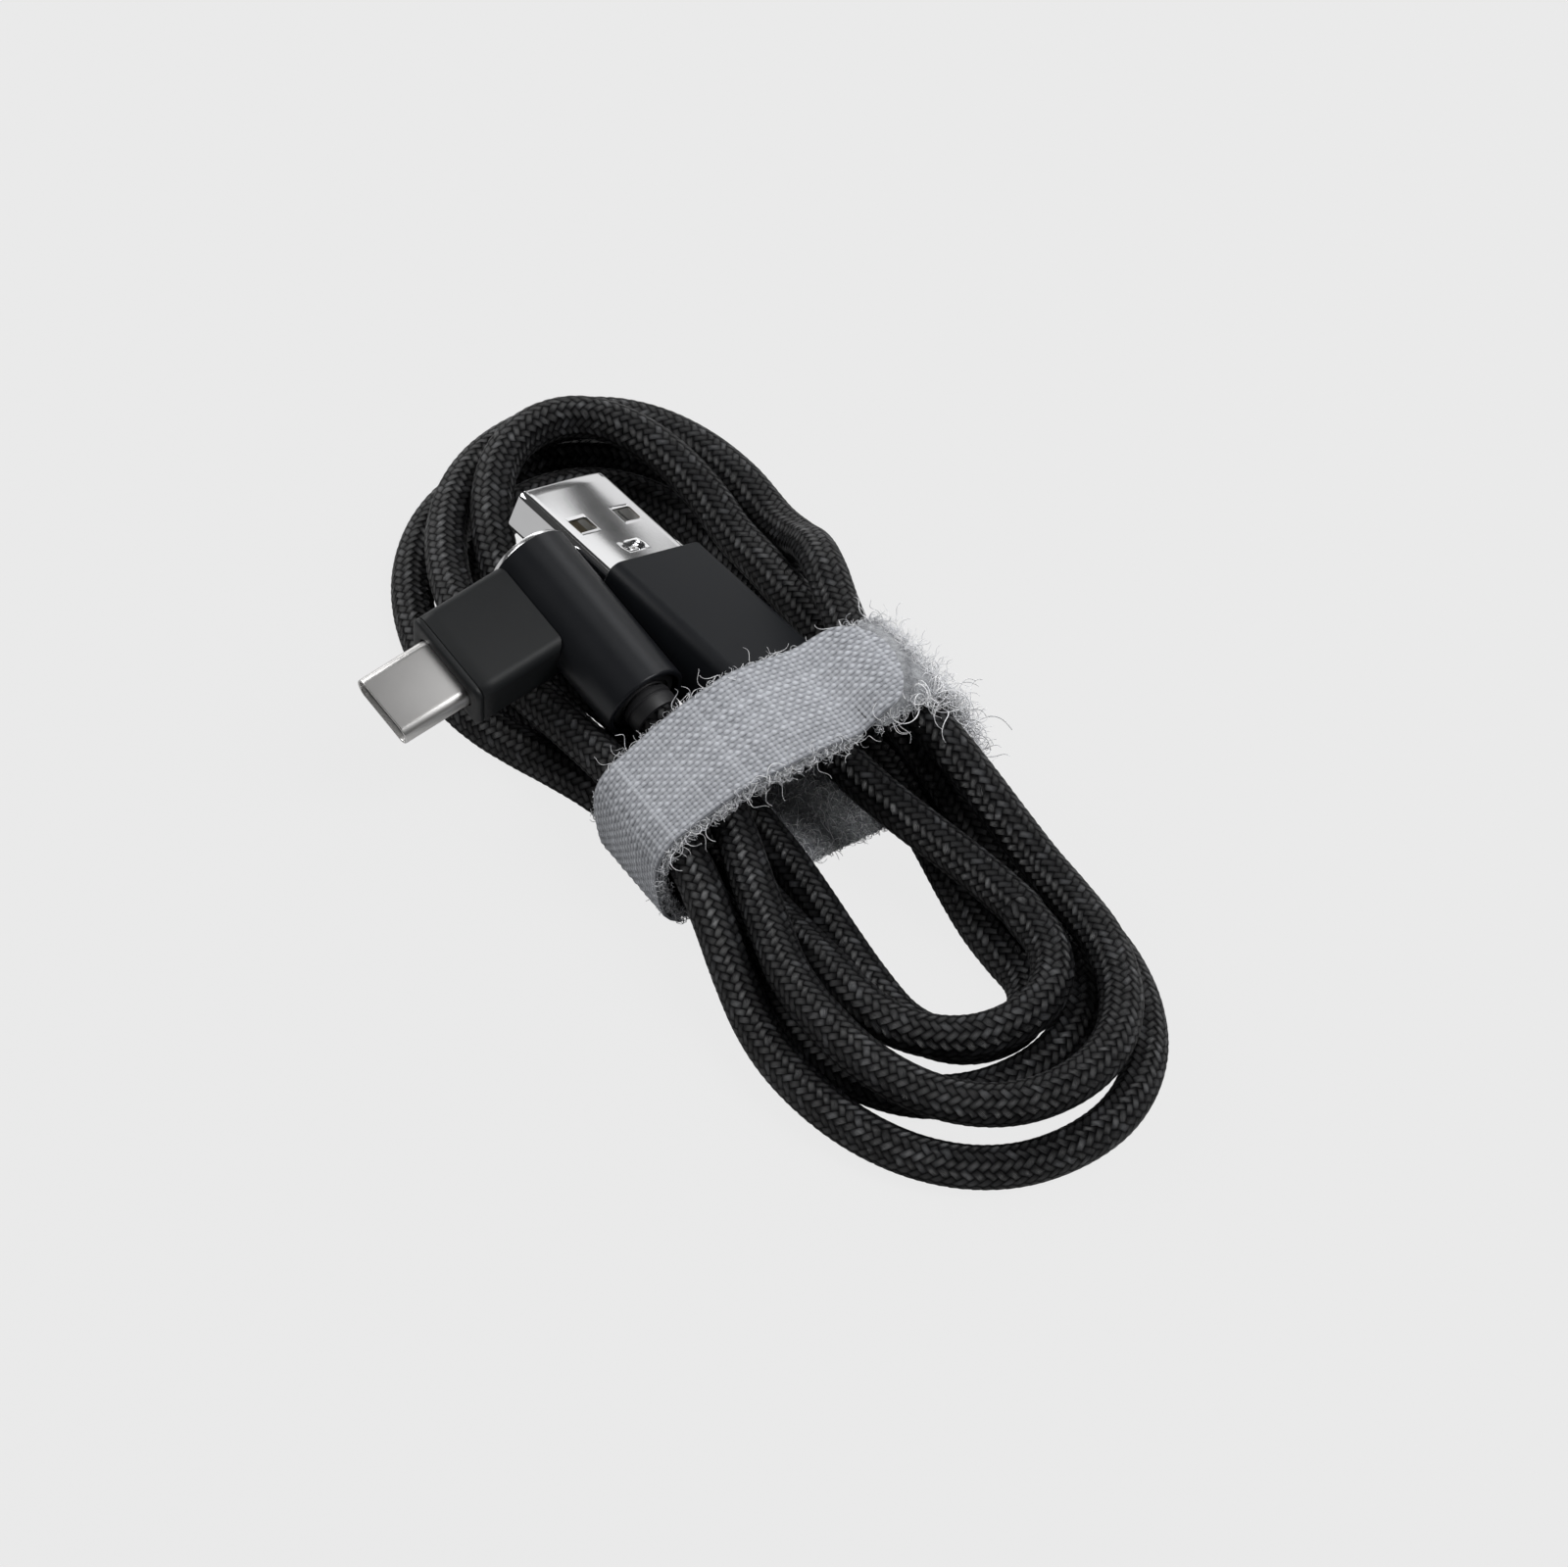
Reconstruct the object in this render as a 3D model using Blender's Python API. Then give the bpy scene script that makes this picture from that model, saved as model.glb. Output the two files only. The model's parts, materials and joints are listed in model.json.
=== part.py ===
"""Charging cable: a braided USB-A to USB-C cable, wound in a hank that a hook-and-loop strap holds.

Metres, +Z up. The origin lies on the strap's flat underside, on which the hank rests.
+Y runs along the hank, towards the bend that the plugs point at.
All sizes below are millimetres; MM turns them into metres where a mesh is made.
"""
import math

import bmesh
import bpy
from mathutils import Matrix, Vector

for old in list(bpy.data.objects):
    bpy.data.objects.remove(old, do_unlink=True)

MM = 0.001

# Clearances
FIT = 0.3
FINE_FIT = 0.15

# Cable
CORD_DIAMETER = 4.1
CORE_DIAMETER = 2.9
WIRE_DIAMETER = 0.5
WIRE_PITCH = 0.62
NEAR_Y = -30.0
FAR_Y = 30.0
WAIST_Y = 1.0
BEND_POINTS = 7
RUN_POINTS = 3
BEND_SQUARENESS = 2.15

# USB-A plug: shell, housing, tongue
# The housing's left flank lies beside the angle plug's tube
A_FLANK = (-7.65, 38.25, 15.19)
A_YAW, A_PITCH, A_ROLL = 7.8, 6.0, 21.2
A_SHELL_WIDTH = 12.0
A_SHELL_HEIGHT = 4.5
A_SHELL_WALL = 0.3
A_SHELL_RADIUS = 0.7
A_SHELL_OUT = 13.85
A_SHELL_IN = 4.0
A_WINDOW_WIDTH = 2.5
A_WINDOW_LENGTH = 2.0
A_WINDOW_SPREAD = 6.26
A_WINDOW_BACK = 6.6
A_NOTCH_WIDTH = 2.6
A_NOTCH_LENGTH = 1.5
A_NOTCH_BACK = 11.1
A_HOUSING_WIDTH = 13.3
A_HOUSING_HEIGHT = 7.5
A_HOUSING_LENGTH = 21.0
A_HOUSING_RADIUS = 1.3
A_REAR_WALL = 1.2
A_TONGUE_THICKNESS = 1.75
A_TONGUE_BACK = 0.6
A_CONTACT_WIDTH = 1.0
A_CONTACT_THICKNESS = 0.25
A_CONTACT_PITCH = 2.4
A_CONTACT_BACK = (1.2, 2.2, 2.2, 1.2)
A_MOULDING_LENGTH = 6.0
A_WIRE_PITCH = 1.9

# USB-C plug: shell, stub, angle body
C_ORIGIN = (-31.74, 23.28, 12.3)
C_YAW, C_PITCH, C_ROLL = -87.6, 8.1, 14.0
C_SHELL_WIDTH = 8.25
C_SHELL_HEIGHT = 2.4
C_SHELL_WALL = 0.25
C_SHELL_OUT = 7.6
C_SHELL_IN = 3.0
C_STUB_WIDTH = 11.2
C_STUB_HEIGHT = 6.1
C_STUB_RADIUS = 1.0
C_TONGUE_SLOT_WIDTH = 6.4
C_TONGUE_SLOT_HEIGHT = 0.7
C_TONGUE_SLOT_DEPTH = 5.1
C_INSULATOR_LENGTH = 6.0
C_INSULATOR_BACK = 0.5
C_ROW_LENGTH = 3.9
C_ROW_THICKNESS = 0.22
C_CONTACTS = 12
C_CONTACT_PITCH = 0.5
C_BOARD_WIDTH = 6.6
C_BOARD_THICKNESS = 0.8
C_BOARD_LENGTH = 11.6
C_TUBE_AXIS = 21.6
C_TUBE_RADIUS = 4.48
C_TUBE_WALL = 0.58
C_TUBE_FAR = 5.96
C_TUBE_NEAR = 14.25
C_TUBE_CHAMFER = 0.55
C_CAP_THICKNESS = 1.4
C_CAP_RECESS = 0.45
C_RING_THICKNESS = 1.2
C_RING_RECESS = 0.4
C_WIRE_PITCH = 0.85

# Crimp collars and strain reliefs, alike at both plugs
CRIMP_LENGTH = 2.6
CRIMP_WALL = 0.5
RELIEF_WALL = 0.4
RELIEF_COLLAR_WALL = 1.05
RELIEF_TAPER = 0.25
A_RELIEF_LENGTH = 3.7
C_RELIEF_LENGTH = 2.3
RELIEF_NECK = 1.65
CRIMP_TO_NECK = 0.9
CORE_BARED = 0.8

# Strap
STRAP_FAR_Y = 5.2
STRAP_NEAR_Y = -7.0
BAND_THICKNESS = 0.9
FACE_THICKNESS = 0.35
HOOK_THICKNESS = 0.5
FREE_END_THICKNESS = 0.4
PEEL_SLIT = 1.1
STRAP_STATIONS = 8


def material(name, colour, roughness, metallic=0.0):
    """A plain material for one node."""
    made = bpy.data.materials.new(name)
    made.use_nodes = True
    shader = made.node_tree.nodes["Principled BSDF"]
    shader.inputs["Base Color"].default_value = (*colour, 1.0)
    shader.inputs["Roughness"].default_value = roughness
    shader.inputs["Metallic"].default_value = metallic
    return made


NICKEL = ((0.72, 0.71, 0.69), 0.22, 1.0)
BLACK_METAL = ((0.022, 0.023, 0.027), 0.38, 0.6)
BLACK_PLASTIC = ((0.018, 0.018, 0.019), 0.5, 0.0)
WHITE_PLASTIC = ((0.78, 0.78, 0.76), 0.45, 0.0)
GOLD = ((0.83, 0.61, 0.26), 0.25, 1.0)
BOARD_GREEN = ((0.02, 0.12, 0.05), 0.45, 0.0)
TIN = ((0.62, 0.62, 0.60), 0.35, 1.0)
BRAID = ((0.020, 0.020, 0.022), 0.72, 0.0)
PILE = ((0.34, 0.35, 0.37), 0.95, 0.0)
WEAVE = ((0.43, 0.45, 0.48), 0.9, 0.0)


def put(name, points, faces, look, pose=None, pivot=None):
    """Makes a named object from points in millimetres, posed, with its normals outward."""
    pose = pose or Matrix.Identity(4)
    pivot = Vector(pivot or (0.0, 0.0, 0.0))
    mesh = bpy.data.meshes.new(name)
    placed = [((pose @ Vector(p)) - pivot) * MM for p in points]
    mesh.from_pydata([tuple(p) for p in placed], [], faces)
    shell = bmesh.new()
    shell.from_mesh(mesh)
    bmesh.ops.recalc_face_normals(shell, faces=shell.faces)
    if shell.calc_volume(signed=True) < 0.0:
        bmesh.ops.reverse_faces(shell, faces=shell.faces)
    shell.to_mesh(mesh)
    shell.free()
    made = bpy.data.objects.new(name, mesh)
    made.location = pivot * MM
    mesh.materials.append(material(name, *look))
    bpy.context.scene.collection.objects.link(made)
    return made


def loft(name, rings, look, pose=None, ring_like=False, pivot=None):
    """A closed body through rings of equal count: capped, or joined last to first when ring_like."""
    count = len(rings[0])
    points = [p for ring in rings for p in ring]
    faces = []
    steps = len(rings) if ring_like else len(rings) - 1
    for i in range(steps):
        here = i * count
        there = ((i + 1) % len(rings)) * count
        for k in range(count):
            nxt = (k + 1) % count
            faces.append((here + k, here + nxt, there + nxt, there + k))
    if not ring_like:
        faces.append(tuple(range(count)))
        last = (len(rings) - 1) * count
        faces.append(tuple(last + k for k in range(count)))
    return put(name, points, faces, look, pose, pivot)


def rounded_rect(width, height, radius, corner_points=4):
    """Outline in two coordinates, counter-clockwise, with every corner rounded."""
    radius = min(radius, width / 2 - 0.01, height / 2 - 0.01)
    out = []
    for corner, (sx, sy) in enumerate(((1, 1), (-1, 1), (-1, -1), (1, -1))):
        cx = sx * (width / 2 - radius)
        cy = sy * (height / 2 - radius)
        for k in range(corner_points):
            angle = math.radians(90.0 * corner + 90.0 * k / (corner_points - 1))
            out.append((cx + radius * math.cos(angle), cy + radius * math.sin(angle)))
    return out


def disc(radius, count=16):
    """Round outline, its points turned half a step to match the corners of rounded_rect."""
    return [(radius * math.cos(math.tau * (k + 0.5) / count),
             radius * math.sin(math.tau * (k + 0.5) / count)) for k in range(count)]


def along_y(outline, y, x=0.0, z=0.0):
    return [(x + a, y, z + b) for a, b in outline]


def along_x(outline, x, y=0.0, z=0.0):
    return [(x, y + a, z + b) for a, b in outline]


def block(name, low, high, look, pose=None):
    """Box between two corners."""
    outline = [(low[0], low[2]), (high[0], low[2]), (high[0], high[2]), (low[0], high[2])]
    return loft(name, [along_y(outline, low[1]), along_y(outline, high[1])], look, pose)


def pipe(name, profile, look, pose=None, y=0.0, z=0.0, turned="y", count=16):
    """Turned ring from (radius, station) pairs that run once round its section."""
    rings = []
    for radius, station in profile:
        if turned == "y":
            rings.append(along_y(disc(radius, count), station, 0.0, z))
        else:
            rings.append(along_x(disc(radius, count), station, y, z))
    return loft(name, rings, look, pose, ring_like=True)


def cut(target, cutters):
    """Takes the cutters' volume out of the target."""
    for cutter in cutters:
        cutter.hide_render = True
        cutter.display_type = "WIRE"
        made = target.modifiers.new("cut", "BOOLEAN")
        made.operation = "DIFFERENCE"
        made.solver = "EXACT"
        made.object = cutter


def cord(name, points, diameter, look, sides, pose=None):
    """Round cord along a chain of points, with filled ends."""
    pose = pose or Matrix.Identity(4)
    curve = bpy.data.curves.new(name, "CURVE")
    curve.dimensions = "3D"
    curve.bevel_depth = diameter / 2 * MM
    curve.bevel_resolution = sides
    curve.use_fill_caps = True
    line = curve.splines.new("POLY")
    line.points.add(len(points) - 1)
    for target, point in zip(line.points, points):
        target.co = (*((pose @ Vector(point)) * MM), 1.0)
    curve.materials.append(material(name, *look))
    made = bpy.data.objects.new(name, curve)
    bpy.context.scene.collection.objects.link(made)
    return made


def pose_of(origin, yaw, pitch, roll):
    """Place of a plug: rolled about its length, then pitched, then turned in plan."""
    turn = Matrix.Rotation(math.radians(yaw), 4, "Z")
    turn = turn @ Matrix.Rotation(math.radians(pitch), 4, "X")
    turn = turn @ Matrix.Rotation(math.radians(roll), 4, "Y")
    return Matrix.Translation(Vector(origin)) @ turn


# ---------------------------------------------------------------- the hank of cable
# Bends in winding order from the USB-A tail: end, left x, right x, apex y, height of the apex,
# of the left foot and of the right foot, sideways lean of the apex
BENDS = [
    ("near", -11.5, 8.0, -40.5, 6.2, 6.7, 6.95, 0.8),
    ("far", -14.7, 14.2, 50.6, 1.7, 1.7, 1.7, 2.6),
    ("near", -6.9, 6.1, -37.7, 1.7, 1.7, 1.7, 0.6),
    ("far", -10.4, 14.0, 52.2, 9.9, 6.3, 7.0, 3.0),
    ("near", -15.5, 10.8, -43.2, 1.7, 1.7, 2.8, 0.5),
    ("far", -19.3, 19.4, 56.2, 1.6, 1.7, 1.7, 2.0),
    ("near", -20.2, 15.5, -53.4, 1.7, 2.8, 1.7, -0.2),
    ("far", -15.9, 19.1, 55.3, 6.3, 7.1, 6.1, 3.3),
    ("near", -16.3, 13.4, -50.0, 6.2, 7.8, 6.3, -0.2),
]
# Where each run between two bends passes under the strap: x and height
WAISTS = [(-9.6, 3.5), (10.2, 3.5), (-4.9, 3.5), (12.7, 7.8),
          (-14.3, 3.5), (15.1, 3.6), (-14.8, 8.2), (11.8, 12.4)]
# Share of a run at which its height is settled, from the bend (0) to the waist (1), and the
# runs that differ from it, by number, on the way to the waist and from it
SETTLED = 0.72
SETTLED_OUT = {7: 0.5}
SETTLED_IN = {4: 0.9, 8: 0.8}


def smooth(t):
    t = max(0.0, min(1.0, t))
    return t * t * (3 - 2 * t)


def bend(row):
    """Half a squared-off ellipse from one side of the hank to the other."""
    end, left, right, apex, top, left_z, right_z, lean = row
    foot_y, side = (NEAR_Y, -1) if end == "near" else (FAR_Y, 1)
    half, middle = (right - left) / 2, (right + left) / 2
    start_z, stop_z = (right_z, left_z) if end == "near" else (left_z, right_z)
    power = 2 / BEND_SQUARENESS
    out = []
    for k in range(BEND_POINTS):
        share = k / (BEND_POINTS - 1)
        across, reach = math.cos(math.pi * share), math.sin(math.pi * share)
        x = half * math.copysign(abs(across) ** power, across)
        y = abs(apex - foot_y) * abs(reach) ** power
        feet = start_z + (stop_z - start_z) * smooth(share)
        out.append((middle - side * x + lean * reach, foot_y + side * y,
                    top * reach + feet * (1 - reach)))
    return out


def run(foot, waist, settled, count=RUN_POINTS):
    """Points between a bend's foot and the waist, eased in plan and in height."""
    out = []
    for k in range(1, count):
        t = k / count
        out.append((foot[0] + (waist[0] - foot[0]) * smooth(t),
                    foot[1] + (waist[1] - foot[1]) * t,
                    foot[2] + (waist[2] - foot[2]) * smooth(t / settled)))
    return out


def hank():
    """The coiled stretch, from the first bend's foot to the last bend's foot."""
    out = bend(BENDS[0])
    for i, row in enumerate(BENDS[1:]):
        turn = bend(row)
        waist = (WAISTS[i][0], WAIST_Y, WAISTS[i][1])
        out += run(out[-1], waist, SETTLED_OUT.get(i, SETTLED))
        out += [waist]
        out += reversed(run(turn[0], waist, SETTLED_IN.get(i + 1, SETTLED)))
        out += turn
    return out


def least_gap(points, diameter, skip):
    """Smallest distance between stretches of a cord that aren't neighbours, less its diameter."""
    fine = []
    for a, b in zip(points, points[1:]):
        fine += [Vector(a).lerp(Vector(b), k / 8) for k in range(8)]
    travel = [0.0]
    for a, b in zip(fine, fine[1:]):
        travel.append(travel[-1] + (b - a).length)
    best = 1e9
    for i, a in enumerate(fine):
        for j in range(i + 1, len(fine)):
            if travel[j] - travel[i] > skip:
                best = min(best, (a - fine[j]).length)
    return best - diameter


# The hank ends one diameter past its outer feet, square to the two tails
JOIN_A = (7.8, -25.8, 7.05)
JOIN_C = (-16.0, -25.8, 7.9)
coil_points = [JOIN_A] + hank() + [JOIN_C]
print("least gap of the hank to itself, mm:",
      round(least_gap(coil_points, CORD_DIAMETER, 4 * CORD_DIAMETER), 3))
coil = cord("cable_coil", coil_points, CORD_DIAMETER, BRAID, 1)

# The hank stands on its lowest turns: they are cut flat at the ground
coil_mesh = bpy.data.meshes.new_from_object(coil.evaluated_get(bpy.context.evaluated_depsgraph_get()))
bpy.data.objects.remove(coil, do_unlink=True)
coil_body = bmesh.new()
coil_body.from_mesh(coil_mesh)
bmesh.ops.remove_doubles(coil_body, verts=coil_body.verts, dist=0.001 * MM)
bmesh.ops.bisect_plane(coil_body, geom=coil_body.verts[:] + coil_body.edges[:] + coil_body.faces[:],
                       plane_co=(0.0, 0.0, 0.0), plane_no=(0.0, 0.0, -1.0), clear_outer=True)
bmesh.ops.holes_fill(coil_body, edges=[e for e in coil_body.edges if e.is_boundary], sides=0)
bmesh.ops.recalc_face_normals(coil_body, faces=coil_body.faces)
coil_body.to_mesh(coil_mesh)
coil_body.free()
coil = bpy.data.objects.new("cable_coil", coil_mesh)
bpy.context.scene.collection.objects.link(coil)

# The two tails: hand-picked points from each plug to the hank
flank_a = pose_of(A_FLANK, A_YAW, A_PITCH, A_ROLL)
plug_a = flank_a @ Matrix.Translation(Vector((A_HOUSING_WIDTH / 2, 0.0, 0.0)))
plug_c = pose_of(C_ORIGIN, C_YAW, C_PITCH, C_ROLL)
a_cord_start = -(A_SHELL_OUT + A_HOUSING_LENGTH + FIT + A_RELIEF_LENGTH + FIT)
c_cord_start = C_TUBE_NEAR - FIT / 3 + C_RELIEF_LENGTH + FIT
join_a, join_c = Vector(JOIN_A), Vector(JOIN_C)
away_a = (join_a - Vector(coil_points[1])).normalized()
away_c = (join_c - Vector(coil_points[-2])).normalized()
lead_a = [tuple(plug_a @ Vector((0.0, a_cord_start, 0.0))),
          tuple(plug_a @ Vector((0.0, a_cord_start - CORD_DIAMETER, 0.0))),
          (5.3, -12.0, 7.9),
          tuple(join_a + away_a * (FIT + CORD_DIAMETER)), tuple(join_a + away_a * FIT)]
lead_c = [tuple(plug_c @ Vector((c_cord_start, C_TUBE_AXIS, 0.0))),
          tuple(plug_c @ Vector((c_cord_start + CORD_DIAMETER, C_TUBE_AXIS, 0.0))),
          (-9.3, -1.9, 10.1), (-11.5, -10.3, 9.4),
          tuple(join_c + away_c * (FIT + CORD_DIAMETER)), tuple(join_c + away_c * FIT)]
cord("lead_to_usb_a", lead_a, CORD_DIAMETER, BRAID, 2)
cord("lead_to_usb_c", lead_c, CORD_DIAMETER, BRAID, 2)

# ---------------------------------------------------------------- USB-A plug
# Local frame: x across, y towards the tip (0 at the tip), z up
a_shell_rear = -(A_SHELL_OUT + A_SHELL_IN)
a_inner_width = A_SHELL_WIDTH - 2 * A_SHELL_WALL
a_inner_height = A_SHELL_HEIGHT - 2 * A_SHELL_WALL
outer = rounded_rect(A_SHELL_WIDTH, A_SHELL_HEIGHT, A_SHELL_RADIUS)
lip = rounded_rect(A_SHELL_WIDTH - A_SHELL_WALL, A_SHELL_HEIGHT - A_SHELL_WALL, A_SHELL_RADIUS)
inner = rounded_rect(a_inner_width, a_inner_height, A_SHELL_RADIUS - A_SHELL_WALL)
usb_a_shell = loft("usb_a_shell",
                   [along_y(lip, 0.0), along_y(outer, -A_SHELL_WALL), along_y(outer, a_shell_rear),
                    along_y(inner, a_shell_rear), along_y(inner, 0.0)],
                   NICKEL, plug_a, ring_like=True)
windows = []
for side in (-1, 1):
    middle = side * A_WINDOW_SPREAD / 2
    windows.append(block("window_cutter",
                         (middle - A_WINDOW_WIDTH / 2, -A_WINDOW_BACK - A_WINDOW_LENGTH / 2,
                          -A_SHELL_HEIGHT),
                         (middle + A_WINDOW_WIDTH / 2, -A_WINDOW_BACK + A_WINDOW_LENGTH / 2,
                          A_SHELL_HEIGHT), TIN, plug_a))
notch = rounded_rect(A_NOTCH_WIDTH, A_NOTCH_LENGTH, A_NOTCH_LENGTH / 2)
windows.append(loft("notch_cutter",
                    [[(a, b - A_NOTCH_BACK, 0.0) for a, b in notch],
                     [(a, b - A_NOTCH_BACK, A_SHELL_HEIGHT) for a, b in notch]], TIN, plug_a))
cut(usb_a_shell, windows)

a_rear = -(A_SHELL_OUT + A_HOUSING_LENGTH)
a_cavity_width = A_SHELL_WIDTH + 2 * FIT
a_cavity_height = A_SHELL_HEIGHT + 2 * FIT
relief_bore = CORE_DIAMETER / 2 + FINE_FIT
relief_neck = relief_bore + RELIEF_WALL
housing_edge = 0.35
outer = rounded_rect(A_HOUSING_WIDTH, A_HOUSING_HEIGHT, A_HOUSING_RADIUS)
edge = rounded_rect(A_HOUSING_WIDTH - housing_edge, A_HOUSING_HEIGHT - housing_edge, A_HOUSING_RADIUS)
cavity = rounded_rect(a_cavity_width, a_cavity_height, A_SHELL_RADIUS + FIT)
rear_hole = disc(relief_neck + FIT)
loft("usb_a_housing",
     [along_y(edge, -A_SHELL_OUT), along_y(outer, -A_SHELL_OUT - housing_edge),
      along_y(outer, a_rear + housing_edge), along_y(edge, a_rear), along_y(rear_hole, a_rear),
      along_y(rear_hole, a_rear + A_REAR_WALL), along_y(cavity, a_rear + A_REAR_WALL),
      along_y(cavity, -A_SHELL_OUT)],
     BLACK_METAL, plug_a, ring_like=True)

tongue_low = -a_inner_height / 2 + FINE_FIT
tongue_high = tongue_low + A_TONGUE_THICKNESS
tongue_half = a_inner_width / 2 - FINE_FIT
block("usb_a_tongue", (-tongue_half, a_shell_rear + FIT, tongue_low),
      (tongue_half, -A_TONGUE_BACK, tongue_high), WHITE_PLASTIC, plug_a)
for i in range(4):
    middle = (i - 1.5) * A_CONTACT_PITCH
    front = -A_CONTACT_BACK[i]
    low = tongue_high + FINE_FIT
    block("usb_a_contact_%d" % (i + 1), (middle - A_CONTACT_WIDTH / 2, a_shell_rear + FIT, low),
          (middle + A_CONTACT_WIDTH / 2, front, low + A_CONTACT_THICKNESS), GOLD, plug_a)

a_moulding_front = a_shell_rear - FIT
a_moulding_rear = a_moulding_front - A_MOULDING_LENGTH
moulding = rounded_rect(a_cavity_width - 2 * FIT, a_cavity_height - 2 * FIT, A_SHELL_RADIUS)
loft("usb_a_inner_moulding", [along_y(moulding, a_moulding_front), along_y(moulding, a_moulding_rear)],
     BLACK_PLASTIC, plug_a)
a_crimp_rear = a_rear + RELIEF_NECK + CRIMP_TO_NECK
a_crimp_front = a_crimp_rear + CRIMP_LENGTH
a_core_front = a_crimp_front + CORE_BARED
a_cord_face = a_cord_start + FIT
for i in range(4):
    near = (i - 1.5) * A_WIRE_PITCH
    far = (i - 1.5) * WIRE_PITCH
    cord("usb_a_wire_%d" % (i + 1),
         [(near, a_moulding_rear - FIT, 0.0), (near, a_moulding_rear - 3 * FIT, 0.0),
          (far, a_core_front + 3 * FIT, 0.0), (far, a_core_front + FIT, 0.0)],
         WIRE_DIAMETER, TIN, 1, plug_a)
pipe("usb_a_crimp_collar",
     [(relief_bore, a_crimp_front), (relief_bore + CRIMP_WALL, a_crimp_front),
      (relief_bore + CRIMP_WALL, a_crimp_rear), (relief_bore, a_crimp_rear)], TIN, plug_a)
loft("usb_a_cable_core", [along_y(disc(CORE_DIAMETER / 2), a_core_front),
                          along_y(disc(CORE_DIAMETER / 2), a_cord_face)], BLACK_PLASTIC, plug_a)
collar = relief_bore + RELIEF_COLLAR_WALL
pipe("usb_a_strain_relief",
     [(relief_bore, a_rear + RELIEF_NECK), (relief_neck, a_rear + RELIEF_NECK),
      (relief_neck, a_rear - FIT), (collar, a_rear - FIT), (collar, a_rear - FIT - A_RELIEF_LENGTH / 2),
      (collar - RELIEF_TAPER, a_cord_face), (relief_bore, a_cord_face)], BLACK_PLASTIC, plug_a)

# ---------------------------------------------------------------- USB-C plug
# Local frame: y from the mouth (0) into the plug, x along the body tube towards the cable, z up
c_shell_rear = C_SHELL_OUT + C_SHELL_IN
outer = rounded_rect(C_SHELL_WIDTH, C_SHELL_HEIGHT, C_SHELL_HEIGHT / 2)
inner_width = C_SHELL_WIDTH - 2 * C_SHELL_WALL
inner_height = C_SHELL_HEIGHT - 2 * C_SHELL_WALL
inner = rounded_rect(inner_width, inner_height, inner_height / 2)
lip = rounded_rect(C_SHELL_WIDTH - C_SHELL_WALL, C_SHELL_HEIGHT - C_SHELL_WALL, C_SHELL_HEIGHT / 2)
loft("usb_c_shell",
     [along_y(lip, 0.0), along_y(outer, C_SHELL_WALL), along_y(outer, c_shell_rear),
      along_y(inner, c_shell_rear), along_y(inner, 0.0)], NICKEL, plug_c, ring_like=True)

insulator_width = inner_width - 2 * FINE_FIT
insulator_height = inner_height - 2 * FINE_FIT
insulator_rear = C_INSULATOR_BACK + C_INSULATOR_LENGTH
outer = rounded_rect(insulator_width, insulator_height, insulator_height / 2)
slot = rounded_rect(C_TONGUE_SLOT_WIDTH, C_TONGUE_SLOT_HEIGHT, C_TONGUE_SLOT_HEIGHT / 4)
loft("usb_c_insulator",
     [along_y(slot, C_INSULATOR_BACK + C_TONGUE_SLOT_DEPTH), along_y(slot, C_INSULATOR_BACK),
      along_y(outer, C_INSULATOR_BACK), along_y(outer, insulator_rear)], BLACK_PLASTIC, plug_c)

row_front = insulator_rear + FINE_FIT
row_rear = row_front + C_ROW_LENGTH
finger_root = row_rear - 0.8
row_half = (C_CONTACTS - 1) * C_CONTACT_PITCH / 2 + C_CONTACT_PITCH / 4
comb = [(row_half, row_rear), (-row_half, row_rear)]
for i in range(C_CONTACTS):
    middle = (i - (C_CONTACTS - 1) / 2) * C_CONTACT_PITCH
    for x, y in ((-1, finger_root), (-1, row_front), (1, row_front), (1, finger_root)):
        comb.append((middle + x * C_CONTACT_PITCH / 4, y))
for name, low in (("usb_c_contact_row_upper", C_BOARD_THICKNESS / 2),
                  ("usb_c_contact_row_lower", -C_BOARD_THICKNESS / 2 - C_ROW_THICKNESS)):
    loft(name, [[(x, y, low) for x, y in comb], [(x, y, low + C_ROW_THICKNESS) for x, y in comb]],
         GOLD, plug_c)

latch_half = inner_width / 2 - 2 * FINE_FIT
latch_wide = 0.3
latch_low, latch_high = -0.15, 0.15
latch = [(-latch_half, row_front), (-latch_half + latch_wide, row_front),
         (-latch_half + latch_wide, row_rear - latch_wide), (latch_half - latch_wide, row_rear - latch_wide),
         (latch_half - latch_wide, row_front), (latch_half, row_front),
         (latch_half, row_rear), (-latch_half, row_rear)]
loft("usb_c_latch_spring", [[(x, y, latch_low) for x, y in latch], [(x, y, latch_high) for x, y in latch]],
     TIN, plug_c)

board_front = row_rear + FINE_FIT
board_rear = board_front + C_BOARD_LENGTH
block("usb_c_circuit_board", (-C_BOARD_WIDTH / 2, board_front, -C_BOARD_THICKNESS / 2),
      (C_BOARD_WIDTH / 2, board_rear, C_BOARD_THICKNESS / 2), BOARD_GREEN, plug_c)

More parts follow.
